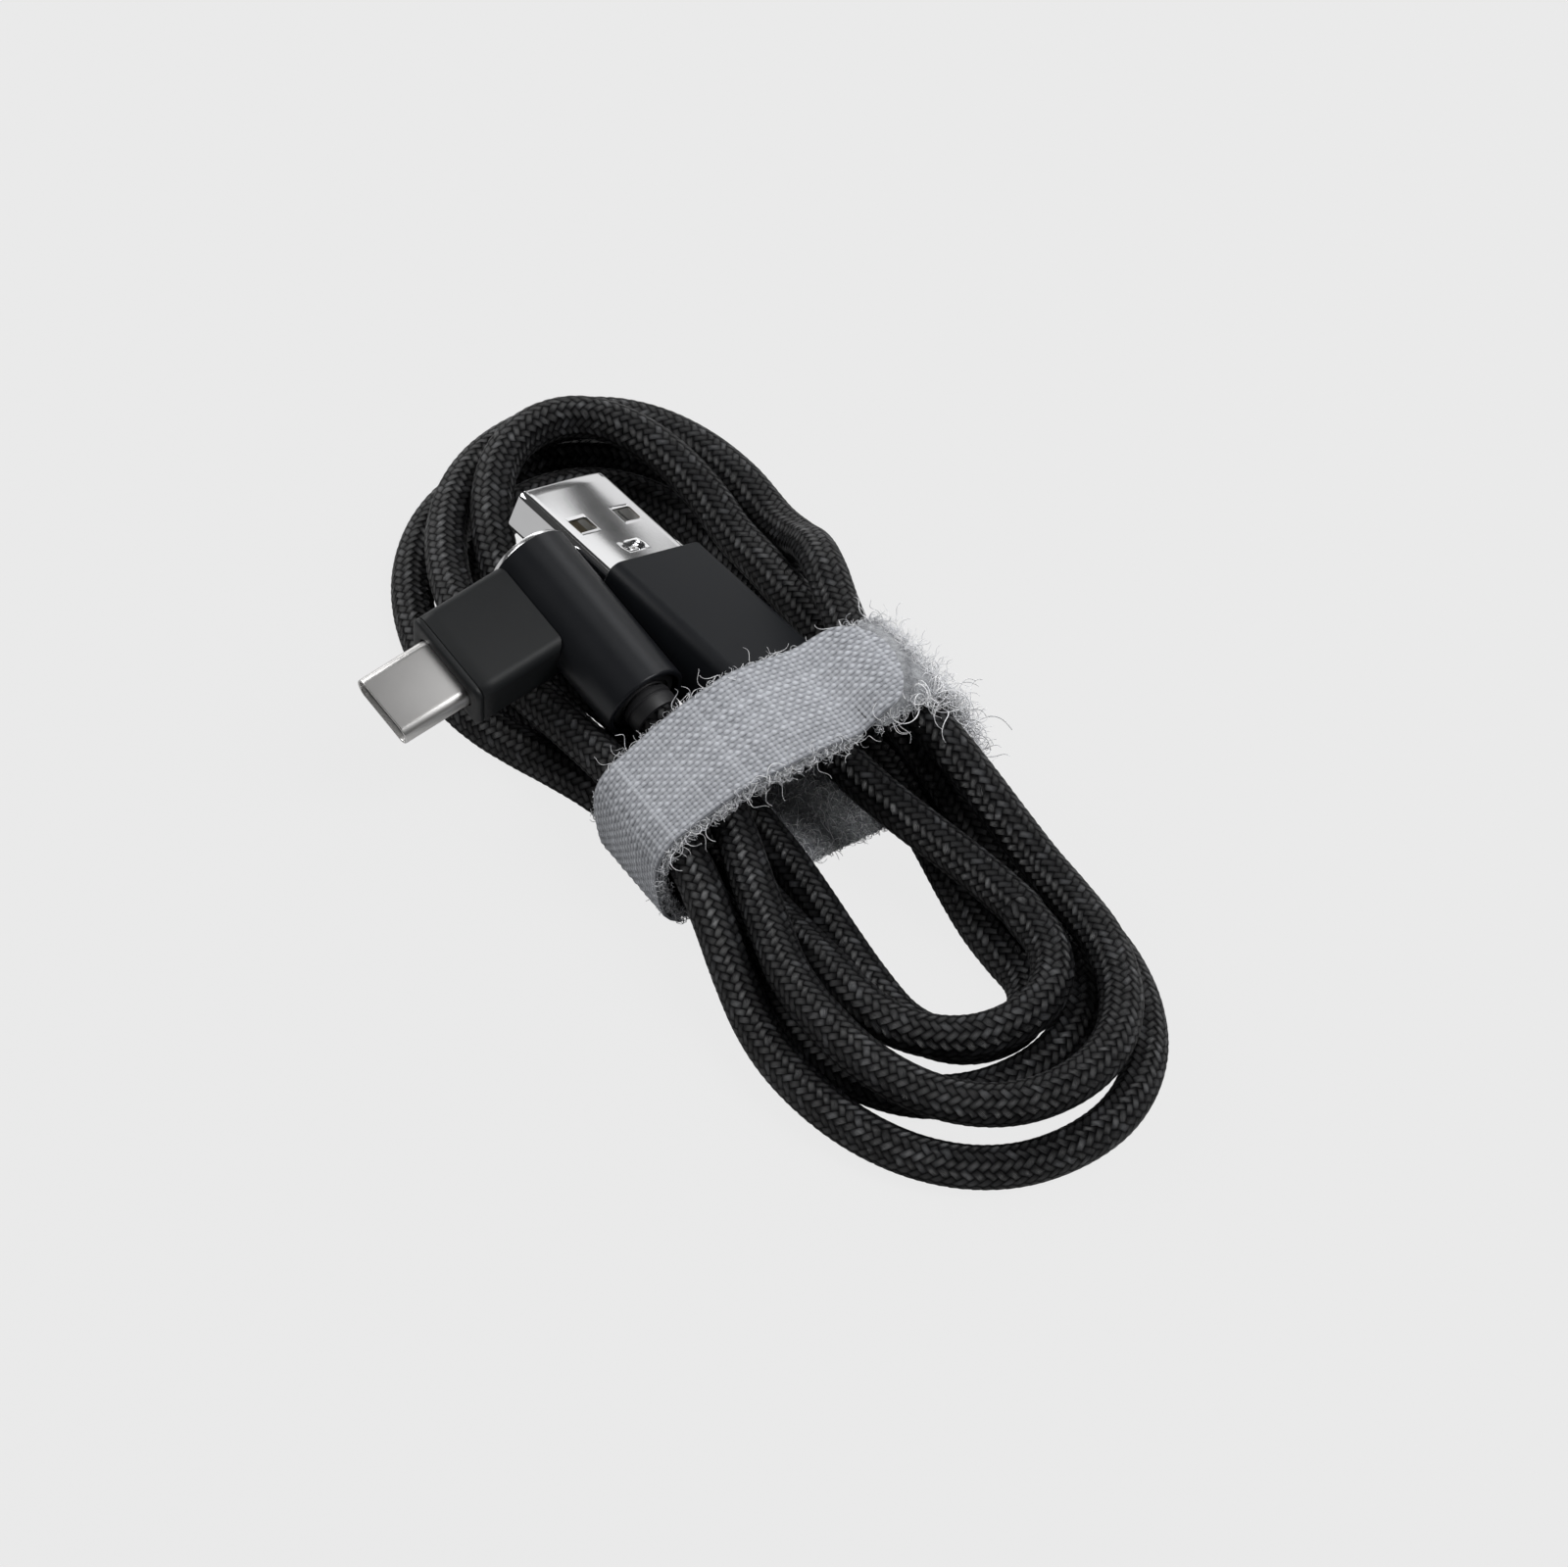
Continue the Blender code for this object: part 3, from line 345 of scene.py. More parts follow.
# the same plait again in the material, from the cable's own map, to part the yarns and their strands; its colour also
# carries painted shade, painted sheen and painted glints
yarn_black, tree, shader = blank_material("black_nylon_plait")
coords = node(tree, "ShaderNodeSeparateXYZ", Vector=node(tree, "ShaderNodeUVMap", {"uv_map": "plait"}).outputs[0])
wobble = node(tree, "ShaderNodeTexNoise", Scale=900.0, Detail=1.0,
              Vector=node(tree, "ShaderNodeTexCoord").outputs["Object"]).outputs["Fac"]
wobble = maths("MULTIPLY_ADD", wobble, 0.4, -0.2)
round_it = maths("MULTIPLY_ADD", coords.outputs["X"], float(yarns_each_way), wobble)
run_it = maths("MULTIPLY_ADD", coords.outputs["Y"], 1.0 / plait_pitch, wobble)
p_line = maths("ADD", round_it, run_it)
q_line = maths("SUBTRACT", round_it, run_it)
p_cell, q_cell = maths("FLOOR", p_line), maths("FLOOR", q_line)
one_way = maths("LESS_THAN", maths("FLOORED_MODULO", maths("ADD", p_cell, q_cell), 4.0), 2.0)


def either(first, second):
    """first on the yarns that run one way, second on those that run the other."""
    return node(tree, "ShaderNodeMix", {"data_type": "FLOAT"}, i0=one_way, i2=second, i3=first).outputs[0]


p_run, q_run = maths("ADD", q_line, p_cell), maths("ADD", p_line, q_cell)
across = maths("SUBTRACT", either(maths("FRACT", p_line), maths("FRACT", q_line)), 0.5)
along = either(maths("MULTIPLY", maths("FLOORED_MODULO", p_run, 4.0), 0.5),
               maths("MULTIPLY_ADD", maths("FLOORED_MODULO", q_run, 4.0), 0.5, -1.0))
crown = maths("SQRT", maths("MAXIMUM", maths("SINE", maths("MULTIPLY", along, math.pi)), 0.0))
hump = maths("MULTIPLY_ADD", maths("MULTIPLY", across, across), -3.4, 1.0)
hump = maths("MULTIPLY", crown, maths("SQRT", maths("MAXIMUM", hump, 0.0)))
strand = maths("SINE", maths("MULTIPLY", across, 38.0))
height = maths("MULTIPLY_ADD", strand, 0.06, hump)
tile = node(tree, "ShaderNodeCombineXYZ", X=either(p_cell, q_cell), Z=one_way,
            Y=maths("FLOOR", maths("MULTIPLY", either(p_run, q_run), 0.25)))
chance = node(tree, "ShaderNodeTexWhiteNoise", Vector=tile.outputs[0]).outputs[0]
# colour: each float is painted darker towards the gaps between floats as painted shade, a few whole floats lighter as
# painted sheen, and a few crowns get a painted glint (spots)
spots = maths("MULTIPLY", maths("GREATER_THAN", chance, 0.86), maths("POWER", hump, 3.0))
tone = maths("MULTIPLY_ADD", maths("POWER", chance, 3.0), 0.22, 0.05)
tone = maths("MULTIPLY_ADD", spots, 0.22, maths("MULTIPLY", tone, hump))
coloured(shader, tone, (0.0022, 0.0022, 0.0026), (0.105, 0.108, 0.115))
put(shader, Roughness=maths("MULTIPLY_ADD", chance, -0.16, 0.50),
    Specular_IOR_Level=maths("MULTIPLY_ADD", maths("POWER", hump, 2.0), 0.62, 0.02))
embossed(shader, height, 0.0003)

cable = add_piece("braided_cable", points, faces, yarn_black)
plait_map = cable.data.uv_layers.new(name="plait")
plait_map.data.foreach_set("uv", np.column_stack([
    (np.array(corners_u) + 0.5) / sides, np.array(corners_v) * cable_length / (rings - 1)]).ravel())
for face in cable.data.polygons:
    face.use_smooth = True
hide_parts("cable_coil", "lead_to_usb_a", "lead_to_usb_c")

# ---------------------------- USB-A plug, shell
# Folded from nickel-plated strip: a rounded box open at the tip, with two latch windows in each
# broad face and an oval detent behind them. It is held in the housing by the inner moulding.


def plug_pose(place, heading, tilt, roll):
    """Where a plug lies: its place in millimetres, then degrees about Z, X and Y."""
    pose = Matrix.Translation(place)
    for degrees, axis in ((heading, "Z"), (tilt, "X"), (roll, "Y")):
        pose = pose @ Matrix.Rotation(math.radians(degrees), 4, axis)
    return pose


half_housing = Matrix.Translation((6.65, 0.0, 0.0))
plug_a = plug_pose((-7.65, 38.25, 15.19), 7.8, 6.0, 21.2) @ half_housing


def rounded_rect(width, height, radius, corner_points=7):
    """Outline in two coordinates, counter-clockwise, with every corner rounded."""
    radius = min(radius, width / 2 - 0.01, height / 2 - 0.01)
    out = []
    for corner, (sx, sy) in enumerate(((1, 1), (-1, 1), (-1, -1), (1, -1))):
        for k in range(corner_points):
            angle = math.radians(90.0 * corner + 90.0 * k / (corner_points - 1))
            out.append((sx * (width / 2 - radius) + radius * math.cos(angle),
                        sy * (height / 2 - radius) + radius * math.sin(angle)))
    return out


def solid_look(mesh, sharp_degrees=40.0):
    """Outward normals, and smooth shading that breaks at sharp edges."""
    shell = bmesh.new()
    shell.from_mesh(mesh)
    bmesh.ops.remove_doubles(shell, verts=shell.verts, dist=1e-7)
    bmesh.ops.recalc_face_normals(shell, faces=shell.faces)
    if shell.calc_volume(signed=True) < 0.0:
        bmesh.ops.reverse_faces(shell, faces=shell.faces)
    limit = math.radians(sharp_degrees)
    for face in shell.faces:
        face.smooth = True
    for edge in shell.edges:
        edge.smooth = len(edge.link_faces) == 2 and edge.calc_face_angle(0.0) < limit
    shell.to_mesh(mesh)
    shell.free()


def loft(name, outlines, material, pose, joined=False, body="hank", sharp=40.0):
    """Skin through outlines of equal count, in a plug's millimetres: capped, or joined in a ring."""
    count = len(outlines[0])
    points = [(pose @ Vector(p)) * mm for outline in outlines for p in outline]
    faces = ring_faces(len(outlines), count, joined)
    if not joined:
        faces += [tuple(range(count)), tuple(range(len(points) - count, len(points)))]
    made = add_piece(name, points, faces, material, body)
    solid_look(made.data, sharp)
    return made


def at_z(outline, z, x=0.0, y=0.0):
    return [(x + a, y + b, z) for a, b in outline]


def applied(piece):
    """Turns a piece's modifiers into its plain mesh."""
    done = bpy.data.meshes.new_from_object(piece.evaluated_get(bpy.context.evaluated_depsgraph_get()))
    piece.modifiers.clear()
    piece.data = done


def cut_and_bevel(piece, cutters, bevel):
    """Takes the cutters out of a piece, then rounds its sharp edges."""
    for cutter in cutters:
        hole = piece.modifiers.new("cut", "BOOLEAN")
        hole.operation, hole.solver, hole.object = "DIFFERENCE", "EXACT", cutter
    applied(piece)
    for cutter in cutters:
        bpy.data.objects.remove(cutter, do_unlink=True)
    if bevel:
        edge = piece.modifiers.new("edge", "BEVEL")
        edge.width, edge.segments, edge.limit_method = bevel * mm, 2, "ANGLE"
        edge.angle_limit, edge.use_clamp_overlap = math.radians(50), True
        applied(piece)
    solid_look(piece.data, 38.0)
    even = piece.modifiers.new("even_shading", "WEIGHTED_NORMAL")
    even.weight, even.keep_sharp = 80, True
    applied(piece)


def grain_group():
    """Fine grain and soft cloudiness of a surface, used by metals and plastics alike."""
    group = bpy.data.node_groups.new("surface_grain", "ShaderNodeTree")
    for name, way in (("Grain Scale", "INPUT"), ("Cloud Scale", "INPUT"), ("Grain", "OUTPUT"), ("Cloud", "OUTPUT")):
        group.interface.new_socket(name, in_out=way, socket_type="NodeSocketFloat")
    given = node(group, "NodeGroupInput").outputs
    place = node(group, "ShaderNodeTexCoord").outputs["Object"]
    grain = node(group, "ShaderNodeTexNoise", Vector=place, Scale=given["Grain Scale"], Detail=2.0)
    cloud = node(group, "ShaderNodeTexNoise", Vector=place, Scale=given["Cloud Scale"], Detail=4.0)
    node(group, "NodeGroupOutput", Grain=grain.outputs[0], Cloud=cloud.outputs[0])
    return group


surface_grain = grain_group()


def hard_finish(name, dark, light, roughness, spread, metallic, grain_scale, grain_depth, specular=0.5):
    """Metal or moulded plastic: clouded colour, uneven roughness and a fine grain."""
    made, tree, shader = blank_material(name)
    grain = node(tree, "ShaderNodeGroup", {"node_tree": surface_grain}, Grain_Scale=grain_scale, Cloud_Scale=160.0)
    coloured(shader, grain.outputs["Cloud"], dark, light)
    embossed(shader, grain.outputs["Grain"], grain_depth)
    put(shader, Metallic=metallic, Specular_IOR_Level=specular,
        Roughness=maths("MULTIPLY_ADD", grain.outputs["Cloud"], spread, roughness - spread / 2))
    return made


polished_nickel = hard_finish("polished_nickel", (0.80, 0.80, 0.81), (0.88, 0.88, 0.89), 0.085, 0.04, 1.0,
                              7000.0, 5e-7)


def folded(width, height, radius, y):
    """Outline of the folded shell: its broad faces are many strips, crowned and slightly twisted."""
    strips, crown, skew, level_y = 24, 0.1, 0.075, -6.9
    points = []
    corners = rounded_rect(width, height, radius)
    for a, b in zip(corners, corners[1:] + corners[:1]):
        points.append(a)
        if abs(a[0] - b[0]) > width / 2:
            points += [(a[0] + (b[0] - a[0]) * k / strips, a[1]) for k in range(1, strips)]
    reach, twist = width / 2 - radius, 1 - y / level_y
    out = []
    for x, z in points:
        t = max(-1.0, min(1.0, x / reach))
        lift = crown * (1 - t * t) + skew * twist * (t - t ** 3)
        out.append((x, y, z + lift * math.copysign(1, z)))
    return out


shell_back = -17.85
shell_rings = [folded(11.6, 4.1, 0.55, 0.0), folded(11.85, 4.35, 0.63, -0.06)]
shell_rings += [folded(12.0, 4.5, 0.7, y) for y in np.linspace(-0.26, shell_back, 19)]
shell_rings += [folded(11.4, 3.9, 0.4, shell_back), folded(11.4, 3.9, 0.4, -0.1)]
a_shell = loft("usb_a_folded_shell", shell_rings, polished_nickel, plug_a, joined=True, body=None)
window_side, window_y, detent_y = 3.13, -6.6, -11.1
openings = []
for outline, x, y, low in ((rounded_rect(2.5, 2.0, 0.22, 4), -window_side, window_y, -4.0),
                           (rounded_rect(2.5, 2.0, 0.22, 4), window_side, window_y, -4.0),
                           (rounded_rect(2.7, 1.5, 0.74, 8), 0.0, detent_y, 1.0)):
    openings.append(loft("opening", [at_z(outline, z, x, y) for z in (low, 4.0)], polished_nickel, plug_a, body=None))
cut_and_bevel(a_shell, openings, 0.09)
# the detent's tab: a dished ring with a raised middle, and its underside
detent_rings = []
for share, z in ((1.12, 2.02), (1.0, 2.0), (0.86, 1.86), (0.7, 1.84), (0.52, 2.0), (0.34, 2.06), (0.15, 2.02),
                 (0.15, 1.7), (1.12, 1.7)):
    detent_rings.append(at_z(rounded_rect(2.7 * share, 1.5 * share, 0.74 * share, 8), z, 0.12, detent_y))
detent = loft("usb_a_detent_tab", detent_rings, polished_nickel, plug_a, joined=True)
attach(a_shell, "hank")
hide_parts("usb_a_shell")

# ---------------------------- USB-A plug, housing
# A drawn aluminium sleeve, blasted and dyed black, closed at the back by a wall with the hole for
# the strain relief. Its edges are turned round, and the shell stands in its mouth.
blasted_black = hard_finish("blasted_black_sleeve", (0.005, 0.006, 0.008), (0.009, 0.010, 0.012), 0.46, 0.08, 0.0,
                            11000.0, 1.6e-6, specular=0.2)
sleeve_front, sleeve_back, sleeve_wall = -13.85, -34.85, 1.2
sleeve_width, sleeve_height, sleeve_corner, edge_round = 13.3, 7.5, 1.35, 0.34
hole_radius = 2.3


def circle(radius, count, start=0.0):
    angles = [math.tau * (k + start) / count for k in range(count)]
    return [(radius * math.cos(angle), radius * math.sin(angle)) for angle in angles]


def at_y(outline, y):
    return [(a, y, b) for a, b in outline]


def sleeve_ring(k, front):
    """One outline on the rounded front or back edge of the sleeve."""
    turn = math.radians(90 * k / 5)
    inset, back_off = edge_round * (1 - math.sin(turn)), edge_round * (1 - math.cos(turn))
    if not front:
        inset, back_off = back_off, inset
    return at_y(rounded_rect(sleeve_width - 2 * inset, sleeve_height - 2 * inset, sleeve_corner),
                sleeve_front - back_off if front else sleeve_back + back_off)


sleeve = [sleeve_ring(k, True) for k in range(6)] + [sleeve_ring(k, False) for k in range(6)]
hole = circle(hole_radius, 28, 0.5)
sleeve += [at_y(hole, sleeve_back), at_y(hole, sleeve_back + sleeve_wall)]
sleeve += [at_y(rounded_rect(width, height, 1.0), y) for width, height, y in (
    (12.6, 5.1, sleeve_back + sleeve_wall), (12.5, 5.0, sleeve_front - 0.25), (12.6, 5.1, sleeve_front))]
a_housing = loft("usb_a_metal_sleeve", sleeve, blasted_black, plug_a, joined=True)
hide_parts("usb_a_housing")

# ---------------------------- USB-A plug, inside
# White tongue with four gilt contacts, an injected moulding behind them, four soldered wires, a
# crimped collar and the jacketed core. They keep the solids of the model.
white_nylon = hard_finish("white_nylon", (0.66, 0.66, 0.64), (0.80, 0.80, 0.78), 0.42, 0.1, 0.0, 6000.0, 3e-6)
gilt = hard_finish("gilt_bronze", (0.40, 0.35, 0.27), (0.50, 0.44, 0.34), 0.3, 0.1, 1.0, 9000.0, 1e-6)
black_moulding = hard_finish("black_moulding", (0.012, 0.012, 0.013), (0.026, 0.026, 0.028), 0.46, 0.12, 0.0,
                             7000.0, 5e-6)
tinned = hard_finish("tinned_copper", (0.50, 0.50, 0.48), (0.68, 0.67, 0.64), 0.33, 0.12, 1.0, 8000.0, 2e-6)
jacket = hard_finish("core_jacket", (0.03, 0.03, 0.032), (0.05, 0.05, 0.052), 0.5, 0.1, 0.0, 5000.0, 4e-6)


def dress(finish, *names):
    """Gives carried-over solids their finish."""
    for name in names:
        for place in frame["nodes"][name].material_slots:
            place.material = finish


dress(white_nylon, "usb_a_tongue")
dress(gilt, *["usb_a_contact_%d" % i for i in (1, 2, 3, 4)])
dress(black_moulding, "usb_a_inner_moulding")
dress(tinned, "usb_a_crimp_collar", *["usb_a_wire_%d" % i for i in (1, 2, 3, 4)])
dress(jacket, "usb_a_cable_core")

# ---------------------------- strain reliefs
# A short tapered collar of soft black plastic at each plug, with grip grooves, that the cable comes
# out of. Its neck goes through the plug's back. The tube's axis is in the USB-C plug's own y and z.
tube_axis = (21.6, 0.0)


def turned(name, profile, material, pose, axis="y", centre=(0.0, 0.0), sides=48, sharp=40.0):
    """A ring turned from (radius, station) pairs that go once round its section."""
    outlines = []
    for radius, station in profile:
        outlines.append([(station, centre[0] + a, centre[1] + b) if axis == "x"
                         else (centre[0] + a, station, centre[1] + b) for a, b in circle(radius, sides)])
    return loft(name, outlines, material, pose, joined=True, sharp=sharp)


soft_black = hard_finish("soft_black_plastic", (0.010, 0.010, 0.011), (0.022, 0.022, 0.024), 0.52, 0.1, 0.0,
                         9000.0, 4e-6)
relief_a = [(1.6, -33.2), (2.0, -33.2), (2.0, -35.15), (2.45, -35.15), (2.6, -35.2), (2.65, -35.35), (2.65, -35.9),
            (2.5, -36.0), (2.5, -36.2), (2.65, -36.3), (2.63, -36.85), (2.5, -36.95), (2.5, -37.15), (2.6, -37.25),
            (2.5, -38.55), (2.4, -38.8), (2.18, -38.85), (2.1, -38.6), (2.1, -37.9), (1.6, -37.9)]
a_relief = turned("usb_a_relief_collar", relief_a, soft_black, plug_a)
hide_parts("usb_a_strain_relief")
plug_c = plug_pose((-31.74, 23.28, 12.3), -87.6, 8.1, 14.0)
relief_c = [(1.6, 12.65), (2.0, 12.65), (2.0, 14.15), (2.45, 14.15), (2.6, 14.2), (2.65, 14.35), (2.65, 14.75),
            (2.5, 14.85), (2.5, 15.0), (2.64, 15.1), (2.6, 16.15), (2.5, 16.4), (2.2, 16.45), (2.1, 16.2),
            (2.1, 15.6), (1.6, 15.6)]
c_relief = turned("usb_c_relief_collar", relief_c, soft_black, plug_c, "x", tube_axis)
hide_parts("usb_c_strain_relief")

# ---------------------------- USB-C plug, shell
# Deep-drawn without a seam and plated satin nickel. Its mouth is rolled round, and the black
# insulator stands half a millimetre inside it.
satin_nickel = hard_finish("satin_nickel", (0.70, 0.69, 0.68), (0.78, 0.77, 0.76), 0.33, 0.06, 1.0, 12000.0, 1.5e-6)
half_wall, shell_back = 0.125, 10.6
drawn = [at_y(rounded_rect(8.25, 2.4, 1.2, 9), shell_back)]
for k in range(7):
    turn = math.radians(180 * k / 6)
    swell = half_wall * math.cos(turn)
    drawn.append(at_y(rounded_rect(8.0 + 2 * swell, 2.15 + 2 * swell, 1.07 + swell, 9),
                      half_wall - half_wall * math.sin(turn)))
drawn.append(at_y(rounded_rect(7.75, 1.9, 0.94, 9), shell_back))
c_shell = loft("usb_c_drawn_shell", drawn, satin_nickel, plug_c, joined=True)
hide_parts("usb_c_shell")

# ---------------------------- USB-C plug, stub
# Matte black plastic between the shell and the body tube: a front plate snapped on a rounded
# block, whose back is hollowed to sit round the tube.
tube_radius = 4.48
matte_black = hard_finish("matte_black_plastic", (0.006, 0.007, 0.008), (0.010, 0.011, 0.012), 0.5, 0.06, 0.0,
                          14000.0, 6e-6, specular=0.32)


def saddle(outline, reach):
    """An outline laid on the body tube, at a reach beyond its surface."""
    return [(a, tube_axis[0] - math.sqrt((tube_radius + reach) ** 2 - b * b), b) for a, b in outline]


stub_width, stub_height, stub_corner, stub_foot = 11.2, 6.1, 1.15, 8.42
block = rounded_rect(stub_width, stub_height, stub_corner, 8)
mouth, bore = rounded_rect(8.6, 2.8, 1.38, 8), rounded_rect(8.8, 3.0, 1.4, 8)
stub = [at_y(mouth, 8.0), at_y(mouth, 7.66), at_y(bore, 7.6)]
for inset, y in ((0.36, 7.6), (0.16, 7.66), (0.04, 7.78), (0.0, 7.95), (0.0, 8.22), (0.03, 8.27), (0.13, 8.29),
                 (0.13, 8.35), (0.03, 8.37), (0.0, stub_foot)):
    stub.append(at_y(rounded_rect(stub_width - 2 * inset, stub_height - 2 * inset, stub_corner, 8), y))
for share in (0.15, 0.4, 0.7, 0.93):
    stub.append([tuple(Vector(a).lerp(Vector(b), share))
                 for a, b in zip(at_y(block, stub_foot), saddle(block, 0.1))])
stub += [saddle(block, 0.14), saddle(rounded_rect(11.06, 5.96, 1.1, 8), 0.07), saddle(bore, 0.07)]
c_stub = loft("usb_c_plastic_stub", stub, matte_black, plug_c, joined=True)
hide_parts("usb_c_stub_housing")

# ---------------------------- body tube
# Black anodised aluminium tube across the plug. After dyeing, its far rim is turned bright in a
# narrow chamfer; its near rim stays black.
black_anodised = hard_finish("black_anodised", (0.007, 0.008, 0.010), (0.012, 0.013, 0.016), 0.34, 0.08, 0.25,
                             11000.0, 1.6e-6, specular=0.4)
bright_cut = hard_finish("bright_turned_rim", (0.84, 0.84, 0.85), (0.92, 0.92, 0.93), 0.2, 0.05, 1.0, 9000.0, 8e-7)
tube_profile = [(3.9, -5.7), (3.96, -5.92), (4.02, -5.96), (4.1, -5.96), (4.46, -5.44)]
tube_profile += [(tube_radius, x) for x in (-5.38, -2.0, 4.0, 10.0, 14.02)]
tube_profile += [(4.46, 14.1), (4.34, 14.23), (4.28, 14.25), (3.96, 14.25), (3.9, 14.2)]
tube = turned("angle_body_sleeve", tube_profile, black_anodised, plug_c, "x", tube_axis, sides=96, sharp=30.0)
tube.data.materials.append(bright_cut)
to_plug = plug_c.inverted()
for face in tube.data.polygons:
    middle = to_plug @ (face.center / mm)
    off = math.hypot(middle.y - tube_axis[0], middle.z)
    if middle.x < -5.4 and off > 4.1:
        face.material_index = 1
gap = [(-3.6, -0.7), (3.6, -0.7), (3.6, 0.7), (-3.6, 0.7)]
board_slot = loft("board_slot", [at_y(gap, 15.5), at_y(gap, tube_axis[0])], black_anodised, plug_c, body=None)
cut_and_bevel(tube, [board_slot], 0.0)
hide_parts("angle_body_tube")

cap_profile = [(0.05, -5.3), (1.2, -5.62), (2.4, -5.66), (3.2, -5.6), (3.5, -5.5), (3.6, -5.3), (3.6, -4.11),
               (0.05, -4.11)]
cap = turned("tube_end_plug", cap_profile, soft_black, plug_c, "x", tube_axis)
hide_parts("tube_end_cap")
ring_profile = [(2.3, 12.7), (3.6, 12.7), (3.6, 13.75), (3.5, 13.85), (2.9, 13.85), (2.8, 13.7), (2.5, 13.7),
                (2.4, 13.82), (2.3, 13.8)]
ring = turned("tube_mouth_ring", ring_profile, soft_black, plug_c, "x", tube_axis)
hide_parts("tube_end_ring")

# ---------------------------- USB-C plug, inside
# Insulator, two combs of contacts, the latch spring, and the board that lies in a carrier in the
# tube, with its wires, collar and core. They keep the solids of the model.
green_board = hard_finish("green_board", (0.010, 0.085, 0.035), (0.020, 0.14, 0.06), 0.4, 0.15, 0.0, 4000.0, 4e-6)
dress(black_moulding, "usb_c_insulator", "tube_board_carrier")
dress(gilt, "usb_c_contact_row_upper", "usb_c_contact_row_lower")
dress(tinned, "usb_c_latch_spring", "usb_c_crimp_collar", *["usb_c_wire_%d" % i for i in (1, 2, 3, 4)])
dress(green_board, "usb_c_circuit_board")
dress(jacket, "usb_c_cable_core")

# ---------------------------- strap, loop band
# A grey tape about nine centimetres long, whose both faces are brushed to loops. It runs from
# under the free end, down the right side, along the ground and back over the plugs.
# Each row of its line: x and z at the strap's far edge, x and z at its near edge.
band_line = np.array([
    (6.5, 14.3, 6.5, 13.8), (11.6, 14.85, 11.6, 14.7), (13.7, 14.55, 13.6, 14.4),
    (14.8, 13.0, 14.6, 12.9), (15.9, 9.6, 15.7, 9.6), (17.3, 6.0, 17.0, 6.0),
    (17.75, 3.6, 17.5, 3.6), (17.45, 2.2, 17.2, 2.2), (16.5, 1.2, 16.3, 1.2), (15.1, 0.9, 15.1, 0.9),
    (-14.5, 0.9, -14.5, 0.9), (-15.7, 1.2, -15.8, 1.2), (-16.7, 2.2, -17.0, 2.2),
    (-17.1, 3.6, -17.6, 3.6), (-17.5, 8.4, -18.1, 8.4), (-17.1, 9.7, -17.7, 9.7),
    (-16.2, 10.65, -16.7, 10.65), (-15.1, 11.2, -15.5, 11.2), (-9.8, 13.7, -9.8, 13.0),
    (-3.0, 15.6, -3.0, 13.6), (1.0, 15.3, 1.0, 13.6), (4.4, 14.9, 4.4, 13.4)])
far_y, near_y = 5.2, -7.0


def rounded_line(flat, rows):
    """A line of (x, z) points, smoothed and spaced evenly in the given number of rows."""
    line, _ = smooth_line([(x, 0.0, z) for x, z in flat], 0.1)
    travel = travelled(line)
    return resampled(line[:, ::2], travel, np.linspace(0, travel[-1], rows))


def outward_of(line):
    step = np.gradient(line, axis=0)
    step /= np.linalg.norm(step, axis=1)[:, None]
    return np.column_stack([-step[:, 1], step[:, 0]])


def tape(rows, stations, low, high, bulge=0.0):
    """Grids of a tape's inner and outer face, ruled from its far edge to its near edge."""
    inner, outer = np.zeros((rows, stations, 3)), np.zeros((rows, stations, 3))
    for j in range(stations):
        share = j / (stations - 1)
        line = rounded_line(band_line[:, :2] * (1 - share) + band_line[:, 2:] * share, rows)
        out = outward_of(line)
        y = far_y + (near_y - far_y) * share
        round_off = 1 - bulge * (2 * share - 1) ** 10
        thinned = (high - low) * (1 - round_off) / 2
        for grid, offset in ((inner, low + thinned), (outer, high - thinned)):
            grid[:, j, ::2], grid[:, j, 1] = line + out * offset, y
    return inner, outer


def sheet_faces(rows, stations):
    """Faces of a closed sheet whose first grid is the outer face and second the inner."""
    faces, half = [], rows * stations
    for i in range(rows - 1):
        for j in range(stations - 1):
            a = i * stations + j
            faces.append((a, a + 1, a + stations + 1, a + stations))
            faces.append((half + a, half + a + stations, half + a + stations + 1, half + a + 1))
    for i in range(rows - 1):
        for j in (0, stations - 1):
            a, b = i * stations + j, (i + 1) * stations + j
            faces.append((a, b, half + b, half + a))
    for j in range(stations - 1):
        for i in (0, rows - 1):
            a = i * stations + j
            faces.append((a, half + a, half + a + 1, a + 1))
    return faces


felt_grey, tree, shader = blank_material("brushed_loop_felt")
place = node(tree, "ShaderNodeTexCoord").outputs["Object"]
tangle = node(tree, "ShaderNodeTexNoise", Vector=place, Scale=1500.0, Detail=5.0, Roughness=0.7, Distortion=1.5)
tufts = node(tree, "ShaderNodeTexVoronoi", Vector=place, Scale=1100.0)
fuzz = maths("MULTIPLY_ADD", tufts.outputs[0], -0.5, tangle.outputs[0])
coloured(shader, fuzz, (0.17, 0.176, 0.19), (0.66, 0.68, 0.71))
embossed(shader, fuzz, 0.00025)
put(shader, Roughness=0.95, Sheen_Weight=0.4, Specular_IOR_Level=0.2)
band_rows, band_stations = 190, 29
band_inside, band_outside, edge_roundness, least_z = 0.12, 0.84, 0.8, 0.03
inner, outer = tape(band_rows, band_stations, band_inside, band_outside, edge_roundness)
outer[:, :, 2] = np.maximum(outer[:, :, 2], least_z)
band = add_piece("strap_loop_tape", np.vstack([outer.reshape(-1, 3), inner.reshape(-1, 3)]) * mm,
                 sheet_faces(band_rows, band_stations), felt_grey)
solid_look(band.data, 60.0)
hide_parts("strap_loop_band")

# ---------------------------- strap, woven face
# The light grey outer cloth of the strap, plain-woven from thick yarns. It covers the left side
# and the top, and runs on into the free end, which lies over the band's start.
yarn_spacing = 0.53
warp_yarns = 23
cloth_stations = 4 * warp_yarns + 1
over_band, over_hooks = 1.15, 1.95
fine_rows = 1200


